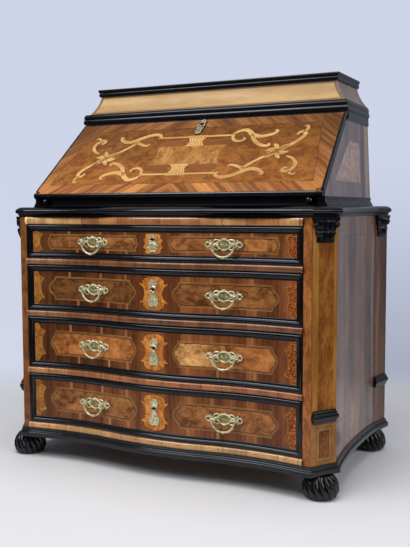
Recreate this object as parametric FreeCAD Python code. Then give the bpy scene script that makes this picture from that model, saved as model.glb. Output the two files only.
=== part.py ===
import FreeCAD, Part
import math
import os

V = FreeCAD.Vector

# Slant-front desk on a chest of four serpentine drawers. Sizes are in millimetres.
# X runs to the right, Y to the back and Z up. Y is measured from the front plane of the stiles
# while pieces are made, and save() moves them so that the desk stands over its own middle.

# Plan of the chest
side_half_width = 500.0
cant_width = 45.0
cant_depth = 70.0
case_depth = 572.0
stile_width = 22.0
bow_depth = 5.0
hollow_depth = 15.0
hollow_from_stile = 160.0
side_hollow = 12.0
side_thickness = 22.0
rear_post_depth = 82.0
rear_post_flare = 16.0
back_thickness = 16.0

# Heights of the chest, from the floor up
foot_height = 62.0
plinth_height = 26.5
rail_height = 18.0
top_rail_height = 22.5
drawer_1_opening = 100.0
drawer_2_opening = 137.0
drawer_3_opening = 152.5
drawer_4_opening = 150.0
chest_top_thickness = 27.5

# Feet, plinth, rails and chest top
foot_radius = 50.0
foot_lobe_depth = 3.6
foot_lobes = 12
front_foot_inset = 32.0
front_foot_y = 42.0
rear_foot_inset = 32.0
rear_foot_from_back = 52.0
plinth_overhang = 12.0
plinth_ledge = 28.0
plinth_width = 60.0
chest_top_overhang = 13.0
rail_proud = 7.0
rail_depth = 45.0
dust_board_thickness = 14.0
guide_rise = 25.0

# Carved ornaments on the pilasters
capital_height = 63.0
capital_reach = 12.0
block_height = 34.0
block_reach = 11.0
block_rise = 108.5

# Drawers
panel_recess = 3.0
drawer_front_thickness = 16.0
blocks_to_hollow = 3
frame_width = 19.0
frame_rise = 8.0
drawer_side_gap = 1.0
drawer_top_gap = 1.5
drawer_run_gap = 0.4
drawer_back_gap = 45.0
drawer_board = 12.0
drawer_bottom_thickness = 8.0
drawer_bottom_lift = 6.0
drawer_side_drop = 8.0

# Brass handles and keyhole plates
handle_from_stile = 226.0
plate_thickness = 3.0
plate_gap = 0.1
boss_half_length = 22.0
boss_half_height = 15.5
roundel_x = 44.5
roundel_radius = 9.5
plate_neck_height = 11.0
post_x = 25.0
post_radius = 4.0
post_root = 2.0
bail_stand_off = 14.0
post_end = 3.0
pin_radius = 1.5
pin_clearance = 0.05
eye_gap = 1.2
eye_length = 5.0
eye_radius = 4.0
bail_drop = 32.5
bail_radius = 2.3
knop_radius = 4.0
knop_length = 5.0
escutcheon_width = 36.0
crown_share = 0.75
neck_share = 0.72
escutcheon_1_height = 50.0
escutcheon_height = 80.0
fall_plate_width = 24.0
fall_plate_height = 72.0
keyhole_rise = 12.0
keyhole_radius = 3.0
keyhole_slot = 12.0
lock_width = 64.0
lock_height = 40.0
lock_depth = 9.0
lock_margin = 6.0

# Desk section
desk_half_width = 458.0
desk_lean = 0.045
desk_converge = 0.026
desk_side_thickness = 18.0
pivot_y = 78.0
pivot_rise = 33.7
fall_angle = 41.7
fall_thickness = 18.0
fall_length = 341.0
fall_gap = 0.3
fall_end_gap = 1.5
fall_edging = 6.0
pin_reach = 18.0
pivot_pin_radius = 4.0
ear_gap = 0.6
ear_clearance = 1.0
pin_end_gap = 1.0
base_height = 26.0
base_flare = 8.0
foot_gap = 1.0
frieze_thickness = 18.0
sill_height = 7.0
loper_width = 22.0
loper_length = 250.0
loper_side_gap = 2.5
loper_set_forward = 4.0
loper_gap = 0.4
loper_knob_radius = 8.4
loper_knob_length = 15.0
guide_width = 12.0
bed_gap = 0.4

# Waist moulding, hood and top
waist_height = 32.0
waist_band = 25.0
waist_reach = 6.5
hood_height = 61.0
hood_set_in = 4.5
hood_set_back = 12.0
hood_draw_in = 33.5
hood_draw_back = 21.5
hood_hollow = 0.7
hood_board = 16.0
hood_steps = 6
top_thickness = 22.0
top_reach = 5.0
top_overhang = 3.0
head_rail_width = 40.0
ceiling_thickness = 18.0

# Lock of the fall
bolt_width = 20.0
bolt_thickness = 4.0
bolt_length = 24.0
bolt_throw = 8.0
bolt_inset = 4.0
lock_clearance = 0.3

# Nest of compartments behind the fall
nest_side_gap = 6.0
nest_top_gap = 3.0
nest_set_back = 14.5
nest_board = 10.0
nest_bay_width = 212.0
nest_drawer_opening = 62.0
nest_drawer_gap = 0.4
nest_drawer_board = 7.0
nest_knob_radius = 6.0
nest_knob_length = 12.0

# Moulding profiles: pairs of height share and overhang share, from the underside up
plinth_profile = ((0.0, 0.72), (0.08, 0.95), (0.22, 1.0), (0.48, 1.0), (0.62, 0.8), (0.7, 0.45),
                  (0.86, 0.3), (1.0, 0.3))
chest_top_profile = ((0.0, 0.2), (0.16, 0.35), (0.3, 0.72), (0.4, 0.95), (0.55, 1.0), (0.7, 0.88),
                     (0.86, 0.45), (1.0, -0.5))
top_profile = ((0.0, 0.0), (0.14, 0.55), (0.34, 0.65), (0.44, 0.35), (0.58, 0.85), (0.86, 1.0), (1.0, 0.6))
waist_profile = ((0.0, 0.45), (0.1, 0.8), (0.2, 1.0), (0.36, 1.0), (0.48, 0.7), (0.54, 0.4), (0.6, 0.6),
                 (0.7, 0.8), (0.84, 0.8), (0.94, 0.55), (1.0, 0.3))
base_profile = ((0.0, 1.0), (0.16, 1.0), (0.34, 0.55), (0.62, 0.15), (0.8, 0.3), (1.0, 0.3))
foot_profile = ((0.0, 0.72), (0.08, 0.86), (0.28, 0.98), (0.48, 1.0), (0.7, 0.94), (0.88, 0.8), (1.0, 0.68))
knob_profile = ((0.0, 0.0), (0.0, 0.5), (0.3, 0.5), (0.55, 1.0), (0.75, 1.0), (0.92, 0.7), (1.0, 0.4),
                (1.0, 0.0))
frame_profile = ((0.0, 0.5), (0.1, 0.9), (0.36, 1.0), (0.56, 0.75), (0.78, 0.42), (1.0, 0.18))
# Ornament profiles: height share, width share and reach share
capital_profile = ((0.0, 0.6, 0.4), (0.3, 0.68, 0.6), (0.62, 0.86, 0.75), (0.8, 1.0, 1.0), (1.0, 1.0, 1.0))
block_profile = ((0.0, 0.86, 0.45), (0.2, 0.9, 0.75), (0.4, 0.98, 1.0), (0.6, 1.0, 1.0),
                 (0.8, 0.92, 0.7), (1.0, 0.88, 0.45))

# Levels and lines that follow from the sizes above
front_half_width = side_half_width - cant_width
opening_half_width = front_half_width - stile_width
handle_x = opening_half_width - handle_from_stile
plinth_top = foot_height + plinth_height
drawer_openings = (drawer_1_opening, drawer_2_opening, drawer_3_opening, drawer_4_opening)
rail_tops = [plinth_top + rail_height]
for opening in reversed(drawer_openings):
    rail_tops.append(rail_tops[-1] + opening + rail_height)
opening_floors = tuple(reversed(rail_tops[:-1]))
top_rail_floor = opening_floors[0] + drawer_1_opening
chest_top_floor = top_rail_floor + top_rail_height
desk_floor = chest_top_floor + chest_top_thickness
front_reach = bow_depth + max(chest_top_overhang, plinth_overhang)
middle_y = (case_depth - front_reach) / 2
back_inner = case_depth - back_thickness
drawer_half_width = opening_half_width - drawer_side_gap
drawer_back_of_front = hollow_depth + panel_recess + drawer_front_thickness
pivot_z = desk_floor + pivot_rise
fall_half = fall_thickness / 2
slope = math.radians(fall_angle)
base_top = desk_floor + base_height
bed_floor = pivot_z - fall_half
bed_top = pivot_z + fall_half
fall_top = pivot_z + fall_length * math.sin(slope) + fall_half * math.cos(slope)
waist_floor = fall_top + fall_end_gap
waist_top = waist_floor + waist_height
hood_top_floor = waist_top + hood_height
ear_radius = fall_half
ear_inner = desk_half_width - desk_side_thickness
full_width_start = ear_radius + ear_clearance
side_edge = -fall_half - fall_gap
head_start = fall_length + fall_end_gap
head_edge = fall_half / 2
frieze_front = pivot_y + ear_radius + foot_gap
loper_front = frieze_front - loper_set_forward
loper_back = loper_front + loper_length


def desk_x(y, z):
    """Half width of the desk section: its sides lean inwards and draw together towards the back."""
    return desk_half_width - desk_lean * (z - pivot_z) - desk_converge * (y - pivot_y)


def fall_point(along, out):
    """(y, z) of a point of the closed fall: along its slope from the pivot, and out from its middle."""
    y = pivot_y + along * math.cos(slope) - out * math.sin(slope)
    z = pivot_z + along * math.sin(slope) + out * math.cos(slope)
    return y, z


# Lines of the desk section that follow the fall and the leaning sides
loper_outer = desk_x(loper_back, pivot_z) - desk_side_thickness - loper_side_gap
loper_x = loper_outer - loper_width / 2
waist_front = fall_point(head_start, head_edge)[0]
rail_foot = fall_point(head_start, side_edge - fall_half)
hood_front = waist_front + hood_set_back
hood_half_width = desk_x(hood_front, waist_top) - hood_set_in
top_front = hood_front + hood_draw_back - top_overhang
top_half_width = hood_half_width - hood_draw_in + top_overhang
nest_front = waist_front + nest_set_back
nest_ceiling = rail_foot[1] - nest_top_gap - nest_board
nest_half_width = desk_x(back_inner, nest_ceiling) - desk_side_thickness - nest_side_gap
nest_bay = nest_half_width - nest_board - nest_bay_width

# Serpentine front: a bow of one radius between two hollows of another, all tangent
hollow_x = opening_half_width - hollow_from_stile
hollow_radius = (hollow_from_stile ** 2 + hollow_depth ** 2) / (2 * hollow_depth)
front_swing = bow_depth + hollow_depth
bow_radius = (hollow_x ** 2 + front_swing ** 2) / (2 * front_swing) - hollow_radius
bow_centre_y = bow_radius - bow_depth
hollow_centre_y = hollow_depth - hollow_radius


def box(x0, x1, y0, y1, z0, z1):
    """Block between two opposite corners."""
    return Part.makeBox(x1 - x0, y1 - y0, z1 - z0, V(x0, y0, z0))


def closed_wire(points):
    """Closed outline through points."""
    return Part.makePolygon(list(points) + [points[0]])


def prism_x(points, x0, x1):
    """Bar along X with a section given as (y, z) points."""
    face = Part.Face(closed_wire([V(x0, y, z) for y, z in points]))
    return face.extrude(V(x1 - x0, 0, 0))


def prism_z(points, z0, z1):
    """Upright bar with a plan given as (x, y) points."""
    face = Part.Face(closed_wire([V(x, y, z0) for x, y in points]))
    return face.extrude(V(0, 0, z1 - z0))


def mirrored(shape):
    """Copy on the other side of the middle."""
    return shape.mirror(V(0, 0, 0), V(1, 0, 0))


def pair(shape):
    """A piece on the right and its mirror image on the left."""
    return [mirrored(shape), shape]


def loft(wires):
    """Solid with straight sides from each outline to the next."""
    return Part.makeLoft(wires, True, True)


def save(name, solids):
    """Write one node, moved so that the desk stands over its middle."""
    node = Part.makeCompound(solids) if len(solids) > 1 else solids[0].copy()
    node.translate(V(0, -middle_y, 0))
    node.exportStep(os.path.join("parts", name + ".step"))


def turn_x(offset):
    """Half width where the bow meets the hollow, on a front moved forward by offset."""
    return hollow_x * (bow_radius + offset) / (bow_radius + hollow_radius)


def front_y(x, offset=0.0):
    """Plan line of the serpentine front, moved forward by offset."""
    if abs(x) <= turn_x(offset):
        return bow_centre_y - math.sqrt((bow_radius + offset) ** 2 - x ** 2)
    return hollow_centre_y + math.sqrt((hollow_radius - offset) ** 2 - (abs(x) - hollow_x) ** 2)


def front_edges(half_width, offset, z):
    """The three tangent arcs of the front, from left to right."""
    turn = turn_x(offset)
    ends = (-half_width, -turn, turn, half_width)
    edges = []
    for left, right in zip(ends, ends[1:]):
        places = (left, (left + right) / 2, right)
        edges.append(Part.Arc(*[V(x, front_y(x, offset), z) for x in places]).toShape())
    return edges


def front_slab_wire(half_width, offset, back_y, z):
    """Outline between the serpentine front and a straight back line."""
    front = front_edges(half_width, offset, z)
    left = V(-half_width, front_y(half_width, offset), z)
    right = V(half_width, front_y(half_width, offset), z)
    back = Part.makePolygon([right, V(half_width, back_y, z), V(-half_width, back_y, z), left])
    return Part.Wire(front + back.Edges)


def front_shell_wire(half_width, offset, depth, z):
    """Outline of a strip bent to the serpentine front, depth thick behind its face."""
    front = front_edges(half_width, offset, z)
    back = front_edges(half_width, offset - depth, z)
    ends = []
    for x in (-half_width, half_width):
        ends.append(Part.makeLine(V(x, front_y(x, offset), z), V(x, front_y(x, offset - depth), z)))
    return Part.Wire(Part.__sortEdges__(front + back + ends))


def plan_facet(start, end):
    """Unit direction of a straight plan edge on the right side, and its outward normal."""
    along = (end - start).normalize()
    return along, V(along.y, -along.x, 0)


def meet(point, along, other, across):
    """Crossing of two lines in plan."""
    cross = along.x * across.y - along.y * across.x
    gap = other - point
    return point + along * ((gap.x * across.y - gap.y * across.x) / cross)


def meet_circle(point, along, centre, radius, near):
    """Crossing of a plan line with a circle, the one nearest to a given point."""
    gap = point - centre
    middle = -gap.dot(along)
    half = math.sqrt(middle ** 2 - gap.dot(gap) + radius ** 2)
    places = [point + along * (middle + side * half) for side in (-1, 1)]
    return min(places, key=lambda place: (place - near).Length)


stile_corner = V(front_half_width, 0, 0)
cant_corner = V(side_half_width, cant_depth, 0)
rear_post_corner = V(side_half_width - rear_post_flare, case_depth - rear_post_depth, 0)
back_corner = V(side_half_width, case_depth, 0)
cant_along, cant_normal = plan_facet(stile_corner, cant_corner)
rear_along, rear_normal = plan_facet(rear_post_corner, back_corner)
side_normal = plan_facet(cant_corner, rear_post_corner)[1]
side_half_chord = (rear_post_corner - cant_corner).Length / 2
side_radius = (side_half_chord ** 2 + side_hollow ** 2) / (2 * side_hollow)
side_middle = (cant_corner + rear_post_corner) * 0.5
side_centre = side_middle + side_normal * (side_radius - side_hollow)
side_inner = side_middle.x - side_hollow - side_thickness


def outline_corners(offset):
    """Corners of the chest's right half, moved outwards by offset, from the stile to the back."""
    cant_point = stile_corner + cant_normal * offset
    rear_point = rear_post_corner + rear_normal * offset
    radius = side_radius - offset
    return (V(opening_half_width, front_y(opening_half_width, offset), 0),
            meet(V(0, -offset, 0), V(1, 0, 0), cant_point, cant_along),
            meet_circle(cant_point, cant_along, side_centre, radius, cant_corner),
            meet_circle(rear_point, rear_along, side_centre, radius, rear_post_corner),
            meet(rear_point, rear_along, V(0, case_depth, 0), V(1, 0, 0)))


def side_arc_middle(start, end, offset):
    """Middle point of the hollow side between two of its points."""
    towards = ((start + end) * 0.5 - side_centre).normalize()
    return side_centre + towards * (side_radius - offset)


def chest_outline(offset, z):
    """Whole plan of the chest, moved outwards by offset, at a height."""
    right = outline_corners(offset)
    left = [V(-point.x, point.y, 0) for point in right]
    bend = side_arc_middle(right[2], right[3], offset)
    edges = front_edges(opening_half_width, offset, 0)
    edges += [Part.makeLine(right[0], right[1]), Part.makeLine(right[1], right[2])]
    edges += [Part.Arc(right[2], bend, right[3]).toShape(), Part.makeLine(right[3], right[4])]
    edges += [Part.makeLine(right[4], left[4]), Part.makeLine(left[4], left[3])]
    edges += [Part.Arc(left[3], V(-bend.x, bend.y, 0), left[2]).toShape()]
    edges += [Part.makeLine(left[2], left[1]), Part.makeLine(left[1], left[0])]
    wire = Part.Wire(edges)
    wire.translate(V(0, 0, z))
    return wire


def moulded_slab(outline, floor, height, overhang, profile):
    """Slab whose edge follows a moulding profile around its outline."""
    return loft([outline(overhang * reach, floor + height * rise) for rise, reach in profile])


def make_feet():
    """Four carved bun feet with upright lobes."""
    groove_radius = foot_radius - foot_lobe_depth
    places = {"front": (side_half_width - front_foot_inset, front_foot_y),
              "rear": (side_half_width - rear_foot_inset, case_depth - rear_foot_from_back)}
    turns = [2 * math.pi * step / (2 * foot_lobes) for step in range(2 * foot_lobes + 1)]
    wires = []
    for rise, share in foot_profile:
        points = []
        for step, angle in enumerate(turns):
            reach = share * (foot_radius if step % 2 else groove_radius)
            points.append(V(reach * math.cos(angle), reach * math.sin(angle), foot_height * rise))
        arcs = [Part.Arc(*points[start:start + 3]).toShape() for start in range(0, 2 * foot_lobes, 2)]
        wires.append(Part.Wire(arcs))
    bun = loft(wires)
    for row, (x, y) in places.items():
        right = bun.copy()
        right.translate(V(x, y, 0))
        save("foot_%s_right" % row, [right])
        save("foot_%s_left" % row, [mirrored(right)])


def make_plinth():
    """Plinth moulding in three lengths, mitred at the front corners and open behind."""
    slab = moulded_slab(chest_outline, foot_height, plinth_height, plinth_overhang, plinth_profile)
    inner = side_inner - plinth_ledge
    ring = slab.cut(box(-inner, inner, plinth_width, case_depth + plinth_width, foot_height,
                        plinth_top))
    mitre = (cant_normal + V(0, -1, 0)) * plinth_width * 2
    out_point = stile_corner + mitre
    in_point = stile_corner - mitre
    wedge = prism_z([(-out_point.x, out_point.y), (out_point.x, out_point.y), (in_point.x, in_point.y),
                     (-in_point.x, in_point.y)], foot_height, plinth_top)
    front = ring.common(wedge)
    sides = ring.cut(wedge)
    save("plinth_moulding", front.Solids + sides.Solids)


def make_chest_case():
    """Corner posts, hollow sides, bottom, back and top of the chest."""
    front_post = prism_z([(opening_half_width, 0), (front_half_width, 0), (side_half_width, cant_depth),
                          (opening_half_width, cant_depth)], plinth_top, chest_top_floor)
    rear_x = rear_post_corner.x
    rear_y = rear_post_corner.y
    rear_post = prism_z([(side_inner, rear_y), (rear_x, rear_y), (side_half_width, case_depth),
                         (side_inner, case_depth)], plinth_top, chest_top_floor)
    save("corner_posts", pair(front_post) + pair(rear_post))

    bend = side_arc_middle(cant_corner, rear_post_corner, 0.0)
    outer = Part.Arc(cant_corner, bend, rear_post_corner).toShape()
    inner = Part.makePolygon([rear_post_corner, V(side_inner, rear_y, 0),
                              V(side_inner, cant_depth, 0), cant_corner])
    side = Part.Face(Part.Wire([outer] + inner.Edges)).extrude(V(0, 0, chest_top_floor - plinth_top))
    side.translate(V(0, 0, plinth_top))
    left, right = pair(side)
    save("chest_side_left", [left])
    save("chest_side_right", [right])

    save("chest_bottom", [box(-opening_half_width, opening_half_width, rail_depth, back_inner, plinth_top,
                              rail_tops[0])])
    save("chest_back", [box(-side_inner, side_inner, back_inner, case_depth, plinth_top, chest_top_floor)])
    save("chest_top", [moulded_slab(chest_outline, chest_top_floor, chest_top_thickness, chest_top_overhang,
                                    chest_top_profile)])


def ornament(start, along, normal, length, floor, height, reach, profile):
    """Carved block on a straight corner face, from width and reach shares at each height share."""
    middle = start + along * (length / 2)
    wires = []
    for rise, width_share, reach_share in profile:
        half = along * (length * width_share / 2)
        out = normal * (reach * reach_share)
        corners = [middle - half, middle + half, middle + half + out, middle - half + out]
        wires.append(closed_wire([point + V(0, 0, floor + height * rise) for point in corners]))
    return loft(wires)


def make_ornaments():
    """Capitals and base blocks on the four pilasters."""
    faces = ((stile_corner, cant_along, cant_normal, (cant_corner - stile_corner).Length),
             (rear_post_corner, rear_along, rear_normal, (back_corner - rear_post_corner).Length))
    capitals = []
    blocks = []
    for face in faces:
        floor = chest_top_floor - capital_height
        capitals += pair(ornament(*face, floor, capital_height, capital_reach, capital_profile))
        floor = plinth_top + block_rise
        blocks += pair(ornament(*face, floor, block_height, block_reach, block_profile))
    save("pilaster_capitals", capitals)
    save("pilaster_blocks", blocks)


def half_round_rail(floor, height):
    """Rail between the posts, rounded in front along the serpentine line."""
    wires = []
    for turn in (-90, -55, -20, 20, 55, 90):
        angle = math.radians(turn)
        level = floor + height / 2 * (1 + math.sin(angle))
        wires.append(front_slab_wire(opening_half_width, rail_proud * math.cos(angle), rail_depth, level))
    return loft(wires)


def make_rails():
    """Half-round rails, and the boards and guides that the drawers run on."""
    save("bottom_rail", [half_round_rail(plinth_top, rail_height)])
    save("drawer_rails", [half_round_rail(top - rail_height, rail_height) for top in rail_tops[1:-1]])
    save("top_rail", [half_round_rail(top_rail_floor, top_rail_height)])
    runners = []
    for top in rail_tops[1:-1]:
        runners.append(box(-opening_half_width, opening_half_width, rail_depth, back_inner,
                           top - dust_board_thickness, top))
    for top in rail_tops[:-1]:
        floor = top - dust_board_thickness
        runners += pair(box(opening_half_width, side_inner, cant_depth, back_inner, floor, top + guide_rise))
    save("drawer_runners", runners)


def drawer_frame(floor, ceiling):
    """Black moulded frame in four mitred lengths, bent to the drawer front."""
    levels = [(frame_width * share, frame_rise * rise) for share, rise in frame_profile]
    lengths = []
    for edge, inward in ((ceiling, -1), (floor, 1)):
        wires = []
        for step, rise in levels:
            wires.append(front_shell_wire(drawer_half_width - step, rise - panel_recess, rise,
                                          edge + inward * step))
        lengths.append(loft(wires))
    wires = []
    for step, rise in levels:
        x = drawer_half_width - step
        front = front_y(x, rise - panel_recess)
        back = front_y(x, -panel_recess)
        low = floor + step
        high = ceiling - step
        wires.append(closed_wire([V(x, front, low), V(x, back, low), V(x, back, high), V(x, front, high)]))
    return lengths + pair(loft(wires))


def drawer_boards(floor, ceiling):
    """Sides, back and bottom of one drawer, behind its front."""
    front = drawer_back_of_front
    back = back_inner - drawer_back_gap
    inner = drawer_half_width - drawer_board
    board_top = ceiling - drawer_side_drop
    bottom = floor + drawer_bottom_lift
    side = box(inner, drawer_half_width, front, back, floor, board_top)
    back_board = box(-inner, inner, back - drawer_board, back, floor, board_top)
    bottom_board = box(-inner, inner, front, back - drawer_board, bottom, bottom + drawer_bottom_thickness)
    return pair(side) + [back_board, bottom_board]


def keyhole(x, z, y0, y1):
    """Round hole with a level slot, along Y."""
    hole = Part.makeCylinder(keyhole_radius, y1 - y0, V(x, y0, z), V(0, 1, 0))
    half = keyhole_radius / 2
    return hole.fuse(box(x - keyhole_slot / 2, x + keyhole_slot / 2, y0, y1, z - half, z + half))


def escutcheon_blank(height, depth):
    """Keyhole plate outline along Y: a round foot, a smaller round crown and a neck between them."""
    foot_radius = escutcheon_width / 2
    crown_radius = escutcheon_width * crown_share / 2
    foot_z = foot_radius - height / 2
    crown_z = height / 2 - crown_radius
    half_neck = crown_radius * neck_share
    blank = box(-half_neck, half_neck, -depth, depth, foot_z, crown_z)
    for z, radius in ((foot_z, foot_radius), (crown_z, crown_radius)):
        blank = blank.fuse(Part.makeCylinder(radius, 2 * depth, V(0, -depth, z), V(0, 1, 0)))
    return blank


def fall_plate_blank(depth):
    """Narrow keyhole plate of the fall along Y, with round ends."""
    half = fall_plate_width / 2
    reach = fall_plate_height / 2 - half
    blank = box(-half, half, -depth, depth, -reach, reach)
    for z in (-reach, reach):
        blank = blank.fuse(Part.makeCylinder(half, 2 * depth, V(0, -depth, z), V(0, 1, 0)))
    return blank.removeSplitter()


def plate_blank(depth):
    """Handle plate outline along Y: an oval boss, a neck and a round end on each side."""
    oval = Part.Ellipse(V(0, 0, 0), boss_half_length, boss_half_height).toShape()
    oval.rotate(V(0, 0, 0), V(1, 0, 0), 90)
    blank = Part.Face(Part.Wire([oval])).extrude(V(0, 2 * depth, 0))
    blank.translate(V(0, -depth, 0))
    half_neck = plate_neck_height / 2
    blank = blank.fuse(box(-roundel_x, roundel_x, -depth, depth, -half_neck, half_neck))
    for x in (-roundel_x, roundel_x):
        blank = blank.fuse(Part.makeCylinder(roundel_radius, 2 * depth, V(x, -depth, 0), V(0, 1, 0)))
    return blank.removeSplitter()


def handle_place(x, z):
    """Placement of a handle on the drawer face: its X follows the front, its Y points into the drawer."""
    step = plate_thickness
    rise = front_y(x + step, -panel_recess) - front_y(x - step, -panel_recess)
    turn = math.degrees(math.atan2(rise, 2 * step))
    return FreeCAD.Placement(V(x, front_y(x, -panel_recess), z), FreeCAD.Rotation(V(0, 0, 1), turn))


def face_shell(floor, ceiling):
    """Sheet as thick as a brass plate that lies on the drawer face."""
    outer = plate_thickness + plate_gap - panel_recess
    wire = front_shell_wire(drawer_half_width, outer, plate_thickness, floor)
    return Part.Face(wire).extrude(V(0, 0, ceiling - floor))


def handle_plate(place, shell):
    """Plate bent to the drawer face, with two bored posts that carry the bail."""
    blank = plate_blank(bail_stand_off * 2)
    blank.Placement = place
    plate = shell.common(blank)
    reach = bail_stand_off + post_end
    for x in (-post_x, post_x):
        post = Part.makeCylinder(post_radius, reach - post_root, V(x, -reach, 0), V(0, 1, 0))
        post = post.cut(Part.makeCylinder(pin_radius + pin_clearance, 4 * post_radius,
                                          V(x - 2 * post_radius, -bail_stand_off, 0), V(1, 0, 0)))
        post.Placement = place
        plate = plate.fuse(post)
    return plate.removeSplitter()


def bail(place):
    """Hanging bail: a bowed rod with a centre knop, two round eyes and the pins in them."""
    eye_start = post_x + post_radius + eye_gap
    eye_middle = eye_start + eye_length / 2
    pin_start = post_x - post_radius
    bow = (eye_middle ** 2 + bail_drop ** 2) / (2 * bail_drop)
    rise = bow - bail_drop
    sweep = 2 * math.degrees(math.atan2(eye_middle, rise))
    section = Part.Circle(V(-eye_middle, 0, 0), V(rise, 0, -eye_middle), bail_radius).toShape()
    rod = Part.Face(Part.Wire([section])).revolve(V(0, 0, rise), V(0, -1, 0), sweep)
    rod = rod.fuse(Part.makeCylinder(knop_radius, knop_length, V(-knop_length / 2, 0, -bail_drop), V(1, 0, 0)))
    for side in (-1, 1):
        across = V(side, 0, 0)
        rod = rod.fuse(Part.makeCylinder(eye_radius, eye_length, across * eye_start, across))
        rod = rod.fuse(Part.makeCylinder(pin_radius, eye_middle - pin_start, across * pin_start, across))
    rod.translate(V(0, -bail_stand_off, 0))
    rod.Placement = place.multiply(rod.Placement)
    return rod


def front_blocks(front, floor, ceiling):
    """Blocks that a curved drawer front is glued up from, side by side."""
    joints = [hollow_x * step / blocks_to_hollow for step in range(1, blocks_to_hollow + 1)]
    ends = joints + [drawer_half_width]
    edges = [-x for x in reversed(ends)] + ends
    return [front.common(box(left, right, -front_reach, drawer_back_of_front, floor, ceiling))
            for left, right in zip(edges, edges[1:])]


def make_drawer(number, opening_floor, opening_height, plate_height):
    """One drawer with its frame, boards, brass mounts and lock case, and its two bails."""
    floor = opening_floor + drawer_run_gap
    ceiling = opening_floor + opening_height - drawer_top_gap
    middle = (floor + ceiling) / 2
    name = "drawer_%d" % number
    key_z = middle + keyhole_rise
    wire = front_slab_wire(drawer_half_width, -panel_recess, drawer_back_of_front, floor)
    front = Part.Face(wire).extrude(V(0, 0, ceiling - floor))
    hole = keyhole(0, key_z, -front_reach, drawer_back_of_front)
    save(name + "_front", front_blocks(front.cut(hole), floor, ceiling))
    save(name + "_frame", drawer_frame(floor, ceiling))
    save(name + "_box", drawer_boards(floor, ceiling))

    shell = face_shell(floor, ceiling)
    blank = escutcheon_blank(plate_height, front_reach)
    blank.translate(V(0, 0, middle))
    escutcheon = shell.common(blank).cut(hole).removeSplitter()
    lock_top = min(ceiling - frame_width, key_z + lock_height / 2)
    lock = box(-lock_width / 2, lock_width / 2, drawer_back_of_front, drawer_back_of_front + lock_depth,
               lock_top - lock_height, lock_top)
    places = [handle_place(x, middle) for x in (-handle_x, handle_x)]
    plates = [handle_plate(place, shell) for place in places]
    save(name + "_mounts", plates + [escutcheon, lock])
    for side, place in zip(("left", "right"), places):
        save("%s_bail_%s" % (name, side), [bail(place)])


def make_drawers():
    """Four drawers, numbered from the top; the first has a shorter keyhole plate."""
    heights = (escutcheon_1_height, escutcheon_height, escutcheon_height, escutcheon_height)
    for number, sizes in enumerate(zip(opening_floors, drawer_openings, heights), 1):
        make_drawer(number, *sizes)


def leaning_board(points, thickness):
    """Board on the right side plane of the desk, with an outline given as (y, z) points."""
    face = Part.Face(closed_wire([V(desk_x(y, z), y, z) for y, z in points]))
    return face.extrude(V(-thickness, 0, 0))


def between_sides(inset):
    """Space between the two leaning side planes, moved inwards by inset."""
    front = pivot_y - fall_thickness * 2
    corners = ((front, desk_floor), (case_depth, desk_floor), (case_depth, hood_top_floor),
               (front, hood_top_floor))
    right = [V(desk_x(y, z) - inset, y, z) for y, z in corners]
    left = [V(-point.x, point.y, point.z) for point in right]
    return loft([closed_wire(left), closed_wire(right)])


def side_strip(front, levels):
    """Moulding on the outside of the right desk side, from (height, reach) levels."""
    wires = []
    for z, reach in levels:
        near = desk_x(front, z)
        far = desk_x(case_depth, z)
        wires.append(closed_wire([V(near, front, z), V(near + reach, front, z),
                                  V(far + reach, case_depth, z), V(far, case_depth, z)]))
    return loft(wires)


def make_desk_base():
    """Black base of the desk: frieze, sills, cheeks that carry the pivots, loper guides and mouldings."""
    frieze_back = frieze_front + frieze_thickness
    frieze_top = bed_floor
    flare_front = frieze_front - base_flare
    guide_edge = loper_x - loper_width / 2 - loper_gap
    section = [(flare_front, desk_floor), (flare_front, desk_floor + sill_height / 2),
               (frieze_front, desk_floor + sill_height), (frieze_front, frieze_top),
               (frieze_back, frieze_top), (frieze_back, desk_floor)]
    frieze = prism_x(section, -guide_edge, guide_edge)
    sill_section = section[:3] + [(frieze_back, desk_floor + sill_height), (frieze_back, desk_floor)]
    sill = prism_x(sill_section, guide_edge, ear_inner)
    cheek_front = pivot_y + ear_radius / 2
    cheek = leaning_board([(cheek_front, desk_floor), (case_depth, desk_floor), (case_depth, base_top),
                           (cheek_front, base_top)], desk_side_thickness)
    web = box(ear_inner, desk_half_width - ear_gap, pivot_y, frieze_front, base_top - ear_radius,
              pivot_z - ear_gap)
    pivot = V(ear_inner, pivot_y, pivot_z)
    ear = Part.makeCylinder(ear_radius, desk_side_thickness - ear_gap, pivot, V(1, 0, 0))
    bore = Part.makeCylinder(pivot_pin_radius, desk_side_thickness - 2 * ear_gap, pivot, V(1, 0, 0))
    cheek = cheek.fuse(web).fuse(ear).cut(bore).cut(sill).removeSplitter()
    guide = box(guide_edge - guide_width, guide_edge, frieze_back, loper_back, desk_floor, frieze_top)
    strip = side_strip(cheek_front, [(desk_floor + base_height * rise, base_flare * reach)
                                     for rise, reach in base_profile])
    back_rail = box(-ear_inner, ear_inner, back_inner, case_depth, desk_floor, bed_floor)
    back_rail = back_rail.common(between_sides(desk_side_thickness))
    save("desk_base", [frieze, back_rail] + pair(sill) + pair(cheek) + pair(guide) + pair(strip))


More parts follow.
